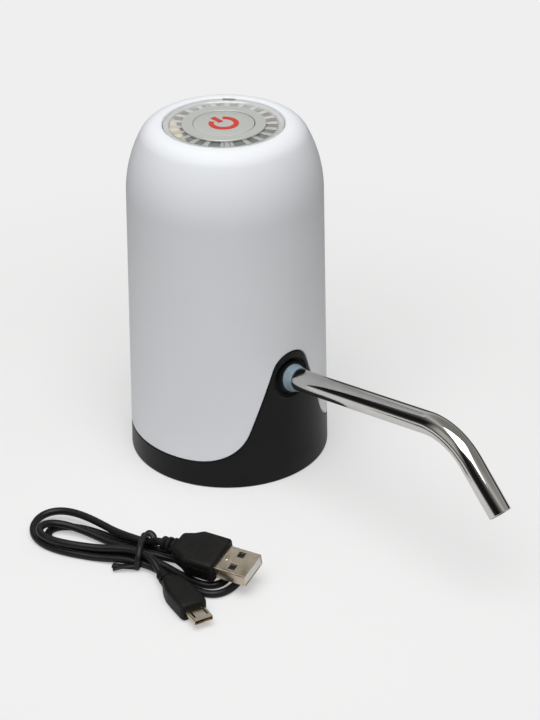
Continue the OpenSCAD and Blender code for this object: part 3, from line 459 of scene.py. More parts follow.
# The well that the intake nipple stands in, and the seats of the three screws.
well_at = Matrix.Translation((-0.011, 0, 0))
well_r = 0.0065
well_top = 0.036
well_wall = 0.0015
nipple_hole_r = 0.00405
cut_room = 0.001
cut(base, drill(well_r, neck_depth - cut_room, ceiling_z + cut_room, well_at))
well = turned("well", [
    (well_r, neck_depth), (well_r, well_top), (nipple_hole_r, well_top),
    (nipple_hole_r, well_top + well_wall), (well_r + well_wall, well_top + well_wall),
    (well_r + well_wall, neck_depth)], 64, well_at)
screw_seat_r = 0.0024
screw_seat_depth = 0.0015
screw_ring_r = 0.023
screw_places = [Matrix.Rotation(math.radians(turn), 4, "Z") @ Matrix.Translation((screw_ring_r, 0, 0))
                for turn in (80, 200)]
screw_places.append(Matrix.Translation((0.0115, -0.0175, 0)))
for at in screw_places:
    cut(base, drill(screw_seat_r, neck_depth - cut_room, neck_depth + screw_seat_depth, at, 32))
join(base, seat_ring, well)


def black_satin(place):
    """Spark-eroded black: a fine even grain, with faint cloudy handling marks."""
    grain = place.noise(5200, 3)
    marks = place.noise(60, 3)
    return {"Base Color": marks.ramp((0.3, (0.006, 0.006, 0.0065)), (0.75, (0.009, 0.009, 0.0095))),
            "Roughness": 0.34 + 0.12 * marks, "Normal": grain.bump(0.000012), "Specular IOR Level": 0.15,
            "Sheen Weight": 0.07, "Sheen Roughness": 0.35}


dress(base, finish("black_satin_plastic", black_satin), "pump", "black_base", "base_collar")


# Shell
# A white moulded bell with a satin gloss. It drops over the chassis, meets the base along a fine open line,
# and ends above in a rounded edge and a flat rim that holds the control panel.
shell_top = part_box("outer_shell")[1].z
part_gap = 0.00025
panel_r = 0.0214
flat_r = 0.0225
crown = 0.008
crown_z = shell_top - crown
rim_round = 0.0008
seat_depth = 0.0055
seat_z = shell_top - seat_depth
ledge_in = 0.0018
ledge_t = 0.002
crown_inside = math.radians(70)
clear_z = 0.062
above_edge = (0.0008, 0.0016, 0.0030)
upper_rows = 4
crown_in = shoulder_r - flat_r - crown
crown_off = ((crown_z - shoulder_z) ** 2 + crown_in ** 2) / (2 * crown_in)
shoulder_arc = crown + crown_off
shoulder_at = (shoulder_r - shoulder_arc, shoulder_z)
shoulder_end = math.asin((crown_z - shoulder_z) / crown_off)
over_top = arc(shoulder_at, shoulder_arc, 0, shoulder_end, 14)[:-1]
over_top += arc((flat_r, crown_z), crown, shoulder_end, math.pi / 2, 16)
over_top += arc((panel_r + rim_round, shell_top - rim_round), rim_round, math.pi / 2, math.pi, 6)
inside = [(panel_r, seat_z), (panel_r - ledge_in, seat_z), (panel_r - ledge_in, seat_z - ledge_t),
          (panel_r + skin_t, seat_z - ledge_t), (panel_r + skin_t, seat_z + 0.0005)]
inside += arc((flat_r, crown_z), crown - skin_t, crown_inside, shoulder_end, 5)
inside += arc(shoulder_at, shoulder_arc - skin_t, shoulder_end, 0, 6)[1:]
shell_edge = [on_body(parting_line(part_gap + grow), inset) for grow, inset in
              rounded(0, edge_round, edge_round) + [(grow, 0) for grow in above_edge]]
above = parting_line(part_gap + above_edge[-1])
clear_ring = ring(above, body_r(clear_z), clear_z)
shell_rows = [on_body(parting_line(part_gap), skin_t)] + shell_edge
shell_rows += rise(shell_edge[-1], clear_ring, side_rows) + [clear_ring]
shell_rows += rise(clear_ring, ring(above, shoulder_r, shoulder_z), upper_rows)
shell_rows += [ring(above, r, z) for r, z in over_top + inside]
shell = wrap("shell", shell_rows)

# A slot behind with round corners, for the charging socket.
port_low, port_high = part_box("charge_socket")
port_room = 0.001
port_round = 0.00125
slot_x = -0.0345
slot_l = 0.0066
slot_w = port_high.y - port_low.y + 2 * port_room
slot_h = port_high.z - port_low.z + 2 * port_room
bpy.ops.object.select_all(action="DESELECT")
bpy.ops.mesh.primitive_cube_add(size=1, location=(slot_x, 0, (port_low.z + port_high.z) / 2))
slot_cutter = bpy.context.object
slot_cutter.scale = (slot_l, slot_w, slot_h)
bpy.ops.object.transform_apply(location=True, rotation=False, scale=True)
bpy.ops.object.mode_set(mode="EDIT")
bpy.ops.mesh.select_all(action="DESELECT")
bpy.ops.object.mode_set(mode="OBJECT")
for e in slot_cutter.data.edges:
    first, last = (slot_cutter.data.vertices[i].co for i in e.vertices)
    e.select = abs((first - last).normalized().x) > 0.9
bpy.ops.object.mode_set(mode="EDIT")
bpy.ops.mesh.select_mode(type="EDGE")
bpy.ops.mesh.bevel(offset=port_round, segments=8)
bpy.ops.object.mode_set(mode="OBJECT")
cut(shell, slot_cutter)


def white_gloss(place):
    """Polished mould, with the slightest orange peel and a cloudy gloss."""
    peel = place.noise(420, 2)
    haze = place.noise(28, 3)
    return {"Base Color": haze.ramp((0.3, (0.785, 0.805, 0.835)), (0.7, (0.805, 0.825, 0.855))),
            "Roughness": 0.46 + 0.10 * haze, "Normal": peel.bump(0.00001), "Specular IOR Level": 0.22,
            "Subsurface Weight": 0.08, "Subsurface Radius": (1, 1, 1), "Subsurface Scale": 0.0015}


dress(shell, finish("white_gloss_plastic", white_gloss), "pump", "white_shell", "outer_shell")


# Light ring
# A clear moulded ring that clips into the shell's rim, with a raised lip round the outside. It stands on a
# metallised insert, cut into radial facets, coloured pale and dark by turns as painted reflection. A gate
# shows in front.
ring_low, ring_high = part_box("light_ring")
trim_low, trim_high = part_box("trim_disc")
trim_r = trim_high.x
lip_r = ring_high.x
lip_in = 0.00225
lip_round = 0.0002
arc_middle = 0.3

# How far in from the rim and down from the top: a rounded rim, a fine groove, and a slope to the inside.
lip_form = [(0, lip_round), (arc_middle * lip_round, arc_middle * lip_round), (lip_round, 0), (0.00045, 0),
            (0.0005, 0.0002), (0.0006, 0.0002), (0.00065, 0.00003), (0.0017, 0.0002), (0.0019, 0.0003),
            (lip_in - 0.0001, 0.0006), (lip_in, 0.0007)]
lip_profile = [(lip_r - inset, ring_high.z - drop) for inset, drop in lip_form]
lip = turned("light_ring", [(lip_r, ring_low.z), *lip_profile, (lip_r - lip_in, ring_low.z)], 192)


def clear_plastic(place):
    """Clear plastic, painted a pale colour that stands in for the light coming through it."""
    haze = place.noise(500, 2)
    return {"Base Color": haze.ramp((0.3, (0.62, 0.635, 0.63)), (0.7, (0.68, 0.695, 0.69))),
            "Transmission Weight": 0.15, "Roughness": 0.05 + 0.06 * haze, "IOR": 1.5, "Coat Weight": 0.5,
            "Coat Roughness": 0.04}


dress(lip, finish("clear_plastic", clear_plastic), "pump", "clear_ring", "light_ring", smooth=50)

facet_up = 0.0002
facet_foot = 0.0003
facet_bevel = 0.00008
facet_count = 22
facet_in = trim_r - 0.0002
facet_out = lip_r - lip_in - 0.00005
floor_z = ring_high.z - 0.0009
hub_r = trim_r - 0.0004
hub_hole_r = 0.011
facet_insert = turned("facet_insert", [
    (facet_out, ring_low.z), (facet_out, floor_z), (hub_r, floor_z), (hub_r, trim_low.z),
    (hub_hole_r, trim_low.z), (hub_hole_r, ring_low.z)], 192)


def block(name):
    """A unit cube about the origin, whose corners are then put in place."""
    bpy.ops.object.select_all(action="DESELECT")
    bpy.ops.mesh.primitive_cube_add(size=1)
    piece = bpy.context.object
    piece.name = name
    return piece


# The raised facets, each by its middle and its width, in pitches from the gate. The first three are the gate.
pitch = 2 * math.pi / facet_count
facet_share = 0.42
gate_turn = math.radians(-35.2)
gate_facets = [(-0.36, 0.24), (0, 0.40), (0.36, 0.24)]
facets = []
for middle, share in gate_facets + [(k + 0.5, facet_share) for k in range(1, facet_count - 1)]:
    facet = block("facet")
    for v in facet.data.vertices:
        r = facet_out if v.co.x > 0 else facet_in
        a = gate_turn + (middle + v.co.y * share) * pitch
        v.co = (r * math.cos(a), r * math.sin(a), floor_z + (facet_up if v.co.z > 0 else -facet_foot))
    modify(facet, "BEVEL", width=facet_bevel, segments=2)
    facets.append(facet)
join(facet_insert, *facets)
# Directions in plan along which the painted reflection and the painted glint are laid.
painted_reflection_front = Vector((0.78, -0.625))
painted_glint_toward = Vector((-0.434, -0.901))


def metallised(place):
    """Vacuum-plated facets in painted reflection: raised ones pale, sunk ones dark in front, paler to the
    back.
    """
    x, y, z = place.axes()
    high = z.step(floor_z + facet_up / 2, floor_z + facet_up * 0.8)
    ahead = (painted_reflection_front.x * x + painted_reflection_front.y * y) * (1 / facet_out)
    painted_glint_side = (painted_glint_toward.x * x + painted_glint_toward.y * y) * (1 / facet_out)
    blotch = place.noise(260, 2)
    # Painted reflection: the sunk facets are dark in front and paler round to the back, with random blotches.
    painted_reflection_round = (ahead * 0.5 + 0.5).ramp(
        (0.05, (0.44, 0.43, 0.42)), (0.5, (0.27, 0.26, 0.25)), (0.9, (0.17, 0.185, 0.175)))
    patchy = blotch.ramp((0.35, grey(0.78)), (0.65, grey(1.15)))
    sunk_painted_reflection = place.make("ShaderNodeMix", {"Factor": 1, "A": painted_reflection_round, "B": patchy}, data_type="RGBA",
                      blend_type="MULTIPLY")
    # A painted glint, warm and pale, on the sunk facets near the rim on one side.
    sunk_with_painted_glint = painted_glint_side.step(0.80, 0.86).mix(sunk_painted_reflection, (0.70, 0.64, 0.50))
    # Painted reflection on the raised facets too: darker in front than behind.
    pale = ahead.step(-0.3, 0.8).mix((0.61, 0.62, 0.61), (0.43, 0.44, 0.43))
    return {"Base Color": high.mix(sunk_with_painted_glint, pale), "Roughness": 0.25 + 0.15 * blotch, "Metallic": 0.15}


dress(facet_insert, finish("facets_with_painted_reflection", metallised), "pump", "clear_ring", smooth=30)

# The grey latch that shows through the lip behind.
tab_r = 0.02045
tab_t, tab_w, tab_h = 0.0013, 0.0046, 0.0011
tab_z = ring_high.z - 0.0005
tab_turn = Matrix.Rotation(math.radians(135.6), 4, "Z")
tab = block("latch_tab")
for v in tab.data.vertices:
    v.co = tab_turn @ Vector((tab_r + v.co.x * tab_t, v.co.y * tab_w, tab_z + v.co.z * tab_h))


def mottled(scale, first, second):
    """A finish for plain moulded plastic, with faint blotches between two colours."""

    def build(place):
        return {"Base Color": place.noise(scale, 2).ramp((0.3, first), (0.7, second)), "Roughness": 0.4}

    return build


dress(tab, finish("grey_latch", mottled(600, grey(0.20), grey(0.30))), "pump", "clear_ring")


# Trim ring
# A flat stamped ring with a satin silver coat. It is stuck on the hub of the light ring, and the button moves
# in its hole.
button_low, button_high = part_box("power_button")
button_r = button_high.x
hole_r = button_r + 0.0002
trim_round = 0.00012
trim = turned("trim", [
    (hole_r, trim_low.z), (trim_r, trim_low.z), (trim_r, trim_high.z - trim_round),
    (trim_r - trim_round, trim_high.z), (hole_r + trim_round, trim_high.z),
    (hole_r, trim_high.z - trim_round)], 160)

# The button sits a little to one side of its hole, so the gap is open on the other.
hole_off = Vector((0.545, 0.839)) * 0.00013
for v in trim.data.vertices:
    if v.co.xy.length < hole_r + 2 * trim_round:
        v.co.xy += hole_off


def silver_coat(place):
    """Sprayed silver: fine flake in the coat, and a dulled gloss."""
    flake = place.noise(4200, 2)
    cloud = place.noise(90, 3)
    return {"Base Color": flake.ramp((0.3, (0.53, 0.55, 0.525)), (0.7, (0.63, 0.65, 0.62))),
            "Metallic": 0.35, "Roughness": 0.38 + 0.12 * cloud, "Normal": flake.bump(0.000006)}


silver = finish("satin_silver_coat", silver_coat)
dress(trim, silver, "pump", "silver_trim", "trim_disc")


# Button
# A moulded push button with the same silver coat, slightly dished. It slides in the trim ring's hole, on a
# stem that reaches down to the switch.
stem_r = 0.0032
button_t = 0.0011
button_round = 0.0003
dish = 0.00008
button = turned("button", [
    (0, button_low.z), (stem_r, button_low.z), (stem_r, button_high.z - button_t),
    (button_r, button_high.z - button_t), (button_r, button_high.z - button_round),
    (button_r - button_round * arc_middle, button_high.z - button_round * arc_middle),
    (button_r - button_round, button_high.z), (button_r * 0.6, button_high.z - dish),
    (0, button_high.z - dish)], 160)
dress(button, silver, "button", "silver_trim", "power_button")


# Power mark
# The usual power sign, a broken ring and a bar, screen-printed thick in orange red on the button. The bar
# points away from the spout.
mark_low, mark_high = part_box("power_mark")
mark_r = mark_high.y
mark_line = 0.0018
mark_gap = math.radians(34)
mark_steps = 56
bar_l = 0.00477
print_sink = 0.0001


def printed(name, outline):
    """A flat closed outline, raised from the button by the thickness of the print."""
    bpy.ops.object.select_all(action="DESELECT")
    bpy.ops.mesh.primitive_circle_add(vertices=len(outline), fill_type="NGON")
    piece = bpy.context.object
    piece.name = name
    for v, (x, y) in zip(piece.data.vertices, outline):
        v.co = (x, y, mark_low.z - print_sink)
    bpy.ops.object.mode_set(mode="EDIT")
    bpy.ops.mesh.select_all(action="SELECT")
    rise_by = (0, 0, mark_high.z - mark_low.z + print_sink)
    bpy.ops.mesh.extrude_region_move(TRANSFORM_OT_translate={"value": rise_by})
    bpy.ops.object.mode_set(mode="OBJECT")
    clean(piece)
    return piece


start, stop = math.pi - mark_gap, -math.pi + mark_gap
mark = printed("power_sign", arc((0, 0), mark_r, start, stop, mark_steps)
               + arc((0, 0), mark_r - mark_line, stop, start, mark_steps))
bar_x = mark_low.x
bar = printed("bar", [(bar_x, -mark_line / 2), (bar_x + bar_l, -mark_line / 2),
                      (bar_x + bar_l, mark_line / 2), (bar_x, mark_line / 2)])
join(mark, bar)


def orange_print(place):
    """Screen print, a little uneven in thickness."""
    cloud = place.noise(900, 2)
    return {"Base Color": cloud.ramp((0.3, (0.55, 0.035, 0.018)), (0.7, (0.63, 0.05, 0.025))),
            "Roughness": 0.45, "Normal": cloud.bump(0.000008)}


dress(mark, finish("orange_print", orange_print), "button", "orange_mark", "power_mark")


# Sleeve
# A blue-grey silicone sleeve, pushed into the outlet behind the tongue. Its nose stands out of the collar and
# tapers in two steps to a lip that grips the tube.
tube_r = 0.004
sleeve_r = 0.00475
sleeve_hole_r = 0.00405
sleeve_end = -0.013
flange_proud = 0.0015
flange_back = -0.0032

# The nose from its lip back to the flange: radius, and distance out from the body.
nose = [(0.00412, 0.0044), (0.00425, 0.0045), (0.00438, 0.0043), (0.00448, 0.0036), (0.00450, 0.0031),
        (0.00460, 0.0029), (0.00468, 0.0024), (0.00471, 0.0021), (0.00490, flange_proud + 0.0003)]
sleeve = turned("sleeve", [
    (sleeve_hole_r, sleeve_end), (sleeve_hole_r, 0.0040), *nose, (flange_r, flange_proud),
    (flange_r, flange_back + 0.0002), (flange_r - 0.0001, flange_back), (sleeve_r, flange_back),
    (sleeve_r, sleeve_end)], 96, along_spout)


def blue_silicone(place):
    """Milky silicone, soft and a little dusty."""
    cloud = place.noise(500, 3)
    return {"Base Color": cloud.ramp((0.3, (0.20, 0.275, 0.32)), (0.7, (0.25, 0.335, 0.385))),
            "Roughness": 0.34 + 0.2 * cloud, "Normal": cloud.bump(0.00001), "Subsurface Weight": 0.35,
            "Subsurface Radius": (1, 1.1, 1.2), "Subsurface Scale": 0.001}


dress(sleeve, finish("blue_grey_silicone", blue_silicone), "sleeve", "silicone", "spout_sleeve")


# Spout
# A stainless tube, bent once and polished bright, with its edges broken. It is pushed into the sleeve and
# turns in it.
tube_wall = 0.0005
spout_run = 0.071
bend_r = 0.025
bend = math.radians(53)
tip_l = 0.019
spout_insert = 0.0125
bend_steps = 30
tip_round = 0.0002
tube_sides = 64
route = [Vector((-spout_insert, 0, 0)), Vector((0, 0, 0)), Vector((spout_run / 2, 0, 0))]
for i in range(bend_steps + 1):
    a = bend * i / bend_steps
    route.append(Vector((spout_run + bend_r * math.sin(a), 0, bend_r * (math.cos(a) - 1))))
route.append(route[-1] + tip_l * Vector((math.cos(bend), 0, -math.sin(bend))))
spout_seat = Matrix.Translation(spout_root) @ Matrix.Rotation(-spout_tilt, 4, "Y")


def tube(name, points, radius, sides):
    """A round curve along points."""
    line = bpy.data.curves.new(name, "CURVE")
    line.dimensions = "3D"
    line.bevel_depth = radius
    line.bevel_resolution = sides // 4 - 1
    spline = line.splines.new("POLY")
    spline.points.add(len(points) - 1)
    for point, at in zip(spline.points, points):
        point.co = (*at, 1)
    piece = bpy.data.objects.new(name, line)
    bpy.context.scene.collection.objects.link(piece)
    return piece


spout = tube("spout", [spout_seat @ p for p in route], tube_r, tube_sides)
alone(spout)
bpy.ops.object.convert(target="MESH")
spout = bpy.context.object
modify(spout, "SOLIDIFY", thickness=tube_wall, offset=-1)
modify(spout, "BEVEL", width=tip_round, segments=3, angle_limit=math.radians(50))


def polished_steel(place):
    """Bright polish: the faintest draw lines along the tube and small cloudy changes of gloss."""
    mapped = place.make("ShaderNodeMapping", {"Vector": place, "Scale": (60, 2600, 2600)})
    lines = mapped.noise(1, 2)
    cloud = place.noise(120, 3)
    return {"Base Color": cloud.ramp((0.3, (0.60, 0.59, 0.57)), (0.7, (0.66, 0.65, 0.63))), "Metallic": 1.0,
            "Roughness": 0.045 + 0.06 * cloud, "Normal": lines.bump(0.0000012)}


dress(spout, finish("polished_steel", polished_steel), "spout", "steel", "spout_tube")


# Cord
# A black cord with a soft PVC jacket, wound into a hank of five loops. It runs from the large plug, over the
# top of the hank, round the loops and out to the small plug.
def placed(at, turn, seat=Matrix()):
    """A seat moved to a point and turned there about its own Z, in degrees."""
    return seat @ Matrix.Translation(at) @ Matrix.Rotation(math.radians(turn), 4, "Z")


hank_seat = placed((0.044, -0.075, 0), 26)
plug_a_seat = placed((0.0069, 0.0017, 0.0083), -5, hank_seat) @ Matrix.Rotation(math.radians(10.6), 4, "X")
plug_b_seat = placed((0.0118, -0.0091, 0.0035), -37, hank_seat)
cord_r = 0.00135
cord_sides = 20
strand = 0.0033
waist = 0.0024
waist_lift = 0.0011
waist_ease = 0.014
top_z = 0.00575
slots = [-1.5 * strand, -0.5 * strand, 0.5 * strand, 1.5 * strand]
lobe_steps = 48


def smooth(t):
    """Smooth step from 0 to 1."""
    t = min(1, max(0, t))
    return t * t * (3 - 2 * t)


def lobe(side, reach, fullness, slots_used, tilt=0.0, taper=2.0, layers=(0, 0), climb=(0, 180)):
    """One loop of the hank, out from its waist and back, as it climbs from one layer to another."""
    slot_in, slot_out = slots_used
    half = (slot_in - slot_out) / 2
    full = math.copysign((1 + taper) ** ((1 + taper) / 2) / taper ** (taper / 2) * fullness, half)
    points = []
    for i in range(lobe_steps + 1):
        turn = 180 * i / lobe_steps
        s, c = math.sin(math.radians(turn)), math.cos(math.radians(turn))
        out = (reach - waist) * s
        wide = s ** taper
        across = (slot_in + slot_out) / 2 + c * (half + full * wide) + tilt * wide
        layer = layers[0] + (layers[1] - layers[0]) * smooth((turn - climb[0]) / (climb[1] - climb[0]))
        lie_z = cord_r + waist_lift * (1 - smooth(out / waist_ease)) + strand * layer
        points.append(Vector((side * (waist + out), across, lie_z)))
    return points


def through(knots, steps=6):
    """A smooth line through points."""
    ends = [2 * knots[0] - knots[1], *knots, 2 * knots[-1] - knots[-2]]
    points = []
    for a, b, c, d in zip(ends, ends[1:], ends[2:], ends[3:]):
        for i in range(steps):
            t = i / steps
            points.append(0.5 * (2 * b + (c - a) * t + (2 * a - 5 * b + 4 * c - d) * t * t
                                 + (3 * b - a - 3 * c + d) * t ** 3))
    return points + [knots[-1]]


from_hank = hank_seat.inverted()
cord_hold = 0.001
plug_seats = (plug_a_seat, plug_b_seat)
end_a, end_b = (from_hank @ seat @ Vector((cord_hold, 0, 0)) for seat in plug_seats)
back_a, back_b = (from_hank @ seat @ Vector((-cord_hold, 0, 0)) for seat in plug_seats)
tail_a = [end_a, back_a, Vector((0.0036, 0.0025, 0.00725)), Vector((0.0012, 0.00315, 0.0061)),
          Vector((-0.0010, strand, top_z)), Vector((-waist, strand, top_z))]
tail_b = [Vector((-waist, -strand, top_z)), Vector((0.0010, -0.00345, top_z)),
          Vector((0.0044, -0.0043, 0.0057)), Vector((0.0074, -0.0059, 0.0052)), back_b, end_b]
left_taper = 1.4
hank = lobe(-1, 0.0436, 0.0065, (strand, slots[0]), 0.0048, left_taper, (1, 0), (22, 137))
hank += lobe(1, 0.0365, 0.0079, (slots[0], slots[3]))
hank += lobe(-1, 0.0371, 0.0038, (slots[3], slots[1]), -0.0001, left_taper)
hank += lobe(1, 0.0322, 0.0055, (slots[1], slots[2]))
hank += lobe(-1, 0.0387, 0.0043, (slots[2], -strand), -0.0006, left_taper, (0, 1), (0, 87))
cord_route = [hank_seat @ p for p in through(tail_a)[:-1] + hank + through(tail_b)[1:]]
cord = tube("cord", cord_route, cord_r, cord_sides)
cord_l = sum((b - a).length for a, b in zip(cord_route, cord_route[1:]))


def black_jacket(place):
    """Soft PVC: a dull shine, with faint dust and handling marks."""
    dust = place.noise(700, 4, 0.65)
    grain = place.noise(3000, 2)
    return {"Base Color": dust.ramp((0.35, grey(0.006)), (0.8, grey(0.012))),
            "Roughness": 0.30 + 0.16 * dust, "Normal": grain.bump(0.00001), "Specular IOR Level": 0.26}


jacket = finish("black_cord_jacket", black_jacket)
cord.data.materials.append(jacket)
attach(cord, "lead")
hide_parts("cable_hank", "cable_tail_a", "cable_tail_b")


# Tie
# A wire tie in a black plastic coat, passed once round the waist of the hank. Its ends are twisted together
# and bent down to the left, and a fold of it sticks up on top.
tie_t = 0.0016
tie_w = 0.0022
tie_end_t = 0.0011
fold_t = 0.0015
fold_w = 0.0024
tie_loop = [(0.0012, -0.0068, 0.0016), (0.0016, -0.0064, 0.0052), (0.0010, -0.0036, 0.0078),
            (0.0002, 0, 0.0083), (-0.0008, 0.0038, 0.0081), (-0.0014, 0.0061, 0.0058),
            (-0.0012, 0.0070, 0.0028), (-0.0004, 0.0055, 0.0010), (0.0002, 0, 0.0008),
            (0.0008, -0.0050, 0.0010)]
tie_end_a = [(0.0008, -0.0066, 0.0016), (-0.0018, -0.0073, 0.0016), (-0.0046, -0.0078, 0.0013),
             (-0.0074, -0.0079, 0.0010)]
tie_end_b = [(0.0008, -0.0068, 0.0024), (-0.0018, -0.0080, 0.0022), (-0.0042, -0.0090, 0.0015),
             (-0.0062, -0.0100, 0.0009)]
tie_fold = [(-0.0010, 0.0048, 0.0074), (-0.0003, 0.0052, 0.0081), (0.0009, 0.0052, 0.0082),
            (0.0021, 0.0048, 0.0076), (0.0027, 0.0042, 0.0068)]


def strip(name, knots, width, thickness, across):
    """A flat strip with round edges along points, closed at both ends. Its width lies along across."""
    round_steps = 14
    points = through([Vector(k) for k in knots])
    rows = []
    for i, p in enumerate(points):
        ahead = (points[min(i + 1, len(points) - 1)] - points[max(i - 1, 0)]).normalized()
        side = (across - across.dot(ahead) * ahead).normalized()
        face = ahead.cross(side)
        rows.append([p + width / 2 * math.cos(a) * side + thickness / 2 * math.sin(a) * face
                     for a in (2 * math.pi * k / round_steps for k in range(round_steps))])
    rows = [[points[0]] * round_steps] + rows + [[points[-1]] * round_steps]
    return wrap(name, rows)


tie = strip("tie", tie_loop + tie_loop[:2], tie_w, tie_t, Vector((1, 0, 0)))
join(tie, strip("tie_end", tie_end_a, tie_w, tie_end_t, Vector((0, 1, 0.3))),
     strip("tie_end", tie_end_b, tie_w, tie_end_t, Vector((0, 1, -0.2))),
     strip("fold", tie_fold, fold_w, fold_t, Vector((0.4, 1, 0.4))))
tie.data.transform(hank_seat)


def black_coat(place):
    """Coat of the tie's wire, with a duller skin than the cord's."""
    wear = place.noise(900, 3)
    return {"Base Color": wear.ramp((0.3, grey(0.006)), (0.7, grey(0.012))),
            "Roughness": 0.30 + 0.25 * wear, "Normal": wear.bump(0.00003), "Specular IOR Level": 0.3}


dress(tie, finish("black_tie_coat", black_coat), "lead", "tie_black", "cable_tie", smooth=60)


# Plug grips
# Each plug has a black grip moulded over the cord's end, with a slotted relief behind it. The large one is
# flat and shouldered, with ribs along its sides; the small one is slim and round-edged.
def loft(name, stations, seat, corner_steps=5):
    """A closed block along X through rounded oblongs: (x, half width, half height, corner radius)."""
    rows = []
    for x, w, h, r in stations:
        row = []
        for k, (sy, sz) in enumerate(((1, 1), (-1, 1), (-1, -1), (1, -1))):
            for i in range(corner_steps + 1):
                a = math.pi / 2 * (k + i / corner_steps)
                row.append(Vector((x, sy * (w - r) + r * math.cos(a), sz * (h - r) + r * math.sin(a))))
        rows.append(row)
    count = len(rows[0])
    first, last = ([Vector((rows[i][0].x, 0, 0))] * count for i in (0, -1))
    piece = wrap(name, [first] + rows + [last])
    piece.data.transform(seat)
    return piece


def brick(name, half_l, half_w, half_h, corner, seat):
    """A straight block about its seat, with rounded edges along X."""
    return loft(name, [(-half_l, half_w, half_h, corner), (half_l, half_w, half_h, corner)], seat)


relief_l = 0.0065
relief_start = 0.0003
relief_soft = 0.00025
relief_rings = [(0.0004, 0.0018), (0.0026, 0.0040), (0.0048, 0.0062)]
ring_gap = 0.0008
ring_hole_r = 0.0005
bridge_half = (0.0007, 0.0006, 0.0006)
bridge_share = 0.72


def relief(name, core, radii, seat):
    """A core with separate rings of these radii, joined by small bridges that change sides."""
    along = seat @ Matrix.Rotation(math.pi / 2, 4, "Y")
    end = relief_l + relief_start
    pieces = [turned(name, [(0, relief_start), (core - 0.0002, relief_start), (core, relief_start + 0.0002),
                            (core, end), (0, end)], 40, along)]
    for i, ((low, high), r) in enumerate(zip(relief_rings, radii)):
        pieces.append(turned("ring", [
            (ring_hole_r, low), (r - relief_soft, low), (r, low + relief_soft), (r, high - relief_soft),
            (r - relief_soft, high), (ring_hole_r, high)], 40, along))
        for side in (1, -1):
            y, z = (side * r * bridge_share, 0) if i % 2 else (0, side * r * bridge_share)
            at = seat @ Matrix.Translation((high + ring_gap / 2, y, z))
            pieces.append(brick("bridge", *bridge_half, 0.0002, at))
    return join(*pieces)


relief_a = relief("relief_a", 0.0018, (0.0025, 0.0028, 0.0030), plug_a_seat)
relief_b = relief("relief_b", 0.0017, (0.0022, 0.0025, 0.0027), plug_b_seat)
grip_a_l = 0.0175
grip_a = loft("grip_a", [
    (0, 0.0038, 0.0030, 0.0012), (0.0003, 0.0043, 0.0035, 0.0013), (0.0009, 0.0047, 0.0038, 0.0014),
    (0.0043, 0.0060, 0.0039, 0.0014), (0.0066, 0.0076, 0.0040, 0.0014), (0.0072, 0.0078, 0.0040, 0.0014),
    (0.0167, 0.0078, 0.0040, 0.0014), (0.0172, 0.0076, 0.0038, 0.0013), (grip_a_l, 0.0072, 0.0034, 0.0010)],
    plug_a_seat @ Matrix.Translation((relief_l, 0, 0)))

# A shallow panel is sunk into the large grip's top, and ribs stand along its sides.
panel_form = (0.0058, 0.0010, 0.0003)
panel_z = 0.00494
cut(grip_a, loft("cutter", [(0.0165, *panel_form), (0.0228, *panel_form)],
                 plug_a_seat @ Matrix.Translation((0, 0, panel_z))))
rib_half = (0.0003, 0.0004, 0.0020)
rib_count = 8
rib_first = 0.0148
rib_pitch = 0.00113
rib_y = 0.0077
rib_z = -0.0005
ribs = []
for side in (1, -1):
    for k in range(rib_count):
        at = plug_a_seat @ Matrix.Translation((rib_first + rib_pitch * k, side * rib_y, rib_z))
        ribs.append(brick("rib", *rib_half, 0.0002, at))
join(grip_a, *ribs)
grip_b_l = 0.018
grip_b = loft("grip_b", [
    (0, 0.0026, 0.0026, 0.0011), (0.0003, 0.0030, 0.0030, 0.0013), (0.0010, 0.0033, 0.0033, 0.0014),
    (0.0030, 0.0040, 0.0035, 0.0016), (0.0060, 0.0047, 0.0035, 0.0016), (0.0080, 0.0048, 0.0035, 0.0016),
    (0.0165, 0.0048, 0.0034, 0.0015), (0.0175, 0.0046, 0.0032, 0.0014), (grip_b_l, 0.0041, 0.0027, 0.0010)],
    plug_b_seat @ Matrix.Translation((relief_l, 0, 0)))


def black_grip(place):
    """Moulded PVC with a fine dull grain and a little dust."""
    grain = place.noise(2600, 3)
    dust = place.noise(350, 4, 0.7)
    return {"Base Color": dust.ramp((0.40, (0.006, 0.0058, 0.0055)), (0.85, (0.014, 0.013, 0.012))),
            "Roughness": 0.42 + 0.2 * dust, "Normal": grain.bump(0.00003), "Specular IOR Level": 0.17}


grip_black = finish("black_plug_grip", black_grip)
dress(relief_a, grip_black, "lead", "plug_black", "plug_a_relief")
dress(relief_b, grip_black, "lead", "plug_black", "plug_b_relief")
dress(grip_a, grip_black, "lead", "plug_black", "plug_a_grip")
dress(grip_b, grip_black, "lead", "plug_black", "plug_b_grip")


# Plug shells
# Folded sheet steel, plated bright. The large shell has two square windows and a pressed dimple; the small
# one has rounded corners and two slots for its springs.
sheet = 0.0003
cup_back = 0.0004
cup_lip = 0.0001


def steel_cup(name, length, half_w, half_h, corner, seat):
    """An oblong sheet tube, closed behind and open in front, with a rounded lip."""
    inner = max(corner - sheet, 0.0001)
    return loft(name, [
        (0, half_w, half_h, corner), (length - cup_lip, half_w, half_h, corner),
        (length, half_w - cup_lip, half_h - cup_lip, corner),
        (length, half_w - 2 * cup_lip, half_h - 2 * cup_lip, corner),
        (length - cup_lip, half_w - sheet, half_h - sheet, inner),
        (cup_back, half_w - sheet, half_h - sheet, inner)], seat)


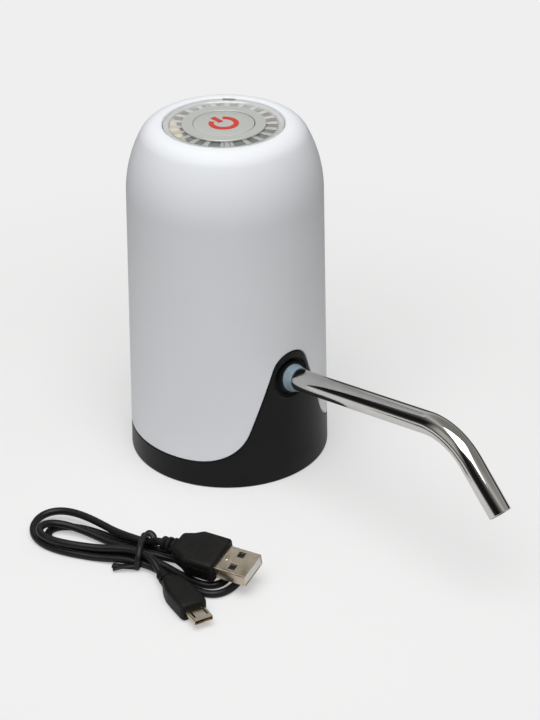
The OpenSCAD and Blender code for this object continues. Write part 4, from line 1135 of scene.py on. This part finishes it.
shell_a_seat = plug_a_seat @ Matrix.Translation((relief_l + grip_a_l, 0, 0))
shell_b_seat = plug_b_seat @ Matrix.Translation((relief_l + grip_b_l, 0, 0))
shell_a = steel_cup("shell_a", 0.012, 0.006, 0.00225, 0.0004, shell_a_seat)
window = 0.0013
window_x, window_y = 0.0059, 0.0031
for side in (1, -1):
    at = shell_a_seat @ Matrix.Translation((window_x, side * window_y, 0))
    cut(shell_a, brick("cutter", window, window, 0.003, 0.0002, at))
dimple_at = (0.0021, 0.0002, 0.00221)
dimple_half = (0.0007, 0.0014, 0.00022)
bpy.ops.object.select_all(action="DESELECT")
bpy.ops.mesh.primitive_uv_sphere_add(segments=32, ring_count=16, radius=1)
dimple = bpy.context.object
dimple.data.transform(shell_a_seat @ Matrix.Translation(dimple_at) @ Matrix.Diagonal((*dimple_half, 1)))
join(shell_a, dimple)
shell_b = steel_cup("shell_b", 0.0066, 0.00345, 0.00095, 0.0004, shell_b_seat)
spring_half_l, spring_half_w = 0.0021, 0.00035
spring_at = Vector((0.0028, 0.0023, 0.0009))
for side in (1, -1):
    at = shell_b_seat @ Matrix.Translation((spring_at.x, side * spring_at.y, spring_at.z))
    cut(shell_b, brick("cutter", spring_half_l, spring_half_w, 0.0005, 0.0001, at))


def plated_steel(place):
    """Bright nickel with a fine grain and soft wear."""
    grain = place.noise(5000, 2)
    wear = place.noise(380, 4)
    return {"Base Color": wear.ramp((0.3, (0.52, 0.44, 0.335)), (0.7, (0.62, 0.54, 0.425))), "Metallic": 1.0,
            "Roughness": 0.18 + 0.14 * wear, "Normal": grain.bump(0.000004)}


plated = finish("plated_steel", plated_steel)
dress(shell_a, plated, "lead", "plug_steel", "plug_a_shell")
dress(shell_b, plated, "lead", "plug_steel", "plug_b_shell")


# Plug inserts
# White in the large plug and black in the small one: plastic blocks that carry the contacts. The white one
# fills the mouth of its shell and has pockets under the windows, with black blocks in them as painted shade.
insert_round = 0.0001
insert_a_form = (0.0056, 0.00185, insert_round)
insert_b_form = (0.0022, 0.0003, insert_round)
insert_a = loft("insert_a", [(cup_back, *insert_a_form), (0.0117, *insert_a_form)], shell_a_seat)
hollow = 0.0016
pocket_shade_half = hollow - 0.00005
pocket_shade_blocks = []
for side in (1, -1):
    at = shell_a_seat @ Matrix.Translation((window_x, side * window_y, 0.0018))
    cut(insert_a, brick("cutter", hollow, hollow, 0.0012, insert_round, at))
    # A black block at the foot of each pocket, as painted shade under the window.
    at = shell_a_seat @ Matrix.Translation((window_x, side * window_y, 0.0007))
    pocket_shade_blocks.append(brick("pocket_shade_block", pocket_shade_half, pocket_shade_half, 0.0005, insert_round, at))
pocket_shade_block = join(*pocket_shade_blocks)
insert_b = loft("insert_b", [(cup_back, *insert_b_form), (0.0050, *insert_b_form)], shell_b_seat)
white_insert = finish("white_insert", mottled(800, (0.74, 0.74, 0.72), (0.80, 0.80, 0.78)))
black_insert = finish("black_insert", mottled(800, grey(0.012), grey(0.02)))
dress(insert_a, white_insert, "lead", "plug_white", "plug_a_tongue")
dress(insert_b, black_insert, "lead", "plug_insert", "plug_b_tongue")
dress(pocket_shade_block, black_insert, "lead", "plug_insert")


# Works
# The chassis, motor, gear pump, cell, boards, hoses, wires and screws. They sit inside the shell and keep the
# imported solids' own shapes.
def works_finish(colour, metallic, roughness):
    """A plain finish with slight cloudiness in its colour and gloss."""

    def build(place):
        cloud = place.noise(300, 3)
        pale = tuple(min(1, 1.12 * c) for c in colour)
        return {"Base Color": cloud.ramp((0.3, colour), (0.7, pale)), "Metallic": metallic,
                "Roughness": roughness + 0.1 * cloud}

    return build


works = {
    "white_inner": ((0.70, 0.70, 0.69), 0, 0.45), "hose": ((0.62, 0.66, 0.68), 0, 0.25),
    "board_green": ((0.02, 0.13, 0.05), 0, 0.35), "black_chip": ((0.015, 0.015, 0.016), 0, 0.4),
    "led": ((0.85, 0.85, 0.75), 0, 0.2), "ivory": ((0.70, 0.64, 0.50), 0, 0.4),
    "screw_steel": ((0.55, 0.55, 0.54), 1, 0.3), "cell_wrap": ((0.06, 0.16, 0.42), 0, 0.35),
    "wire_red": ((0.45, 0.02, 0.02), 0, 0.4), "wire_black": (grey(0.015), 0, 0.4),
    "magnet": (grey(0.10), 1, 0.5), "copper": ((0.62, 0.28, 0.12), 1, 0.35),
    "bronze": ((0.55, 0.38, 0.16), 1, 0.4), "seal_rubber": (grey(0.02), 0, 0.7)}
for slot, values in works.items():
    material = finish(slot, works_finish(*values))
    for part in frame["record"]["subparts"]:
        if part["material_slot"] == slot:
            node = nodes[part["node"]]
            node.data.materials.clear()
            node.data.materials.append(material)
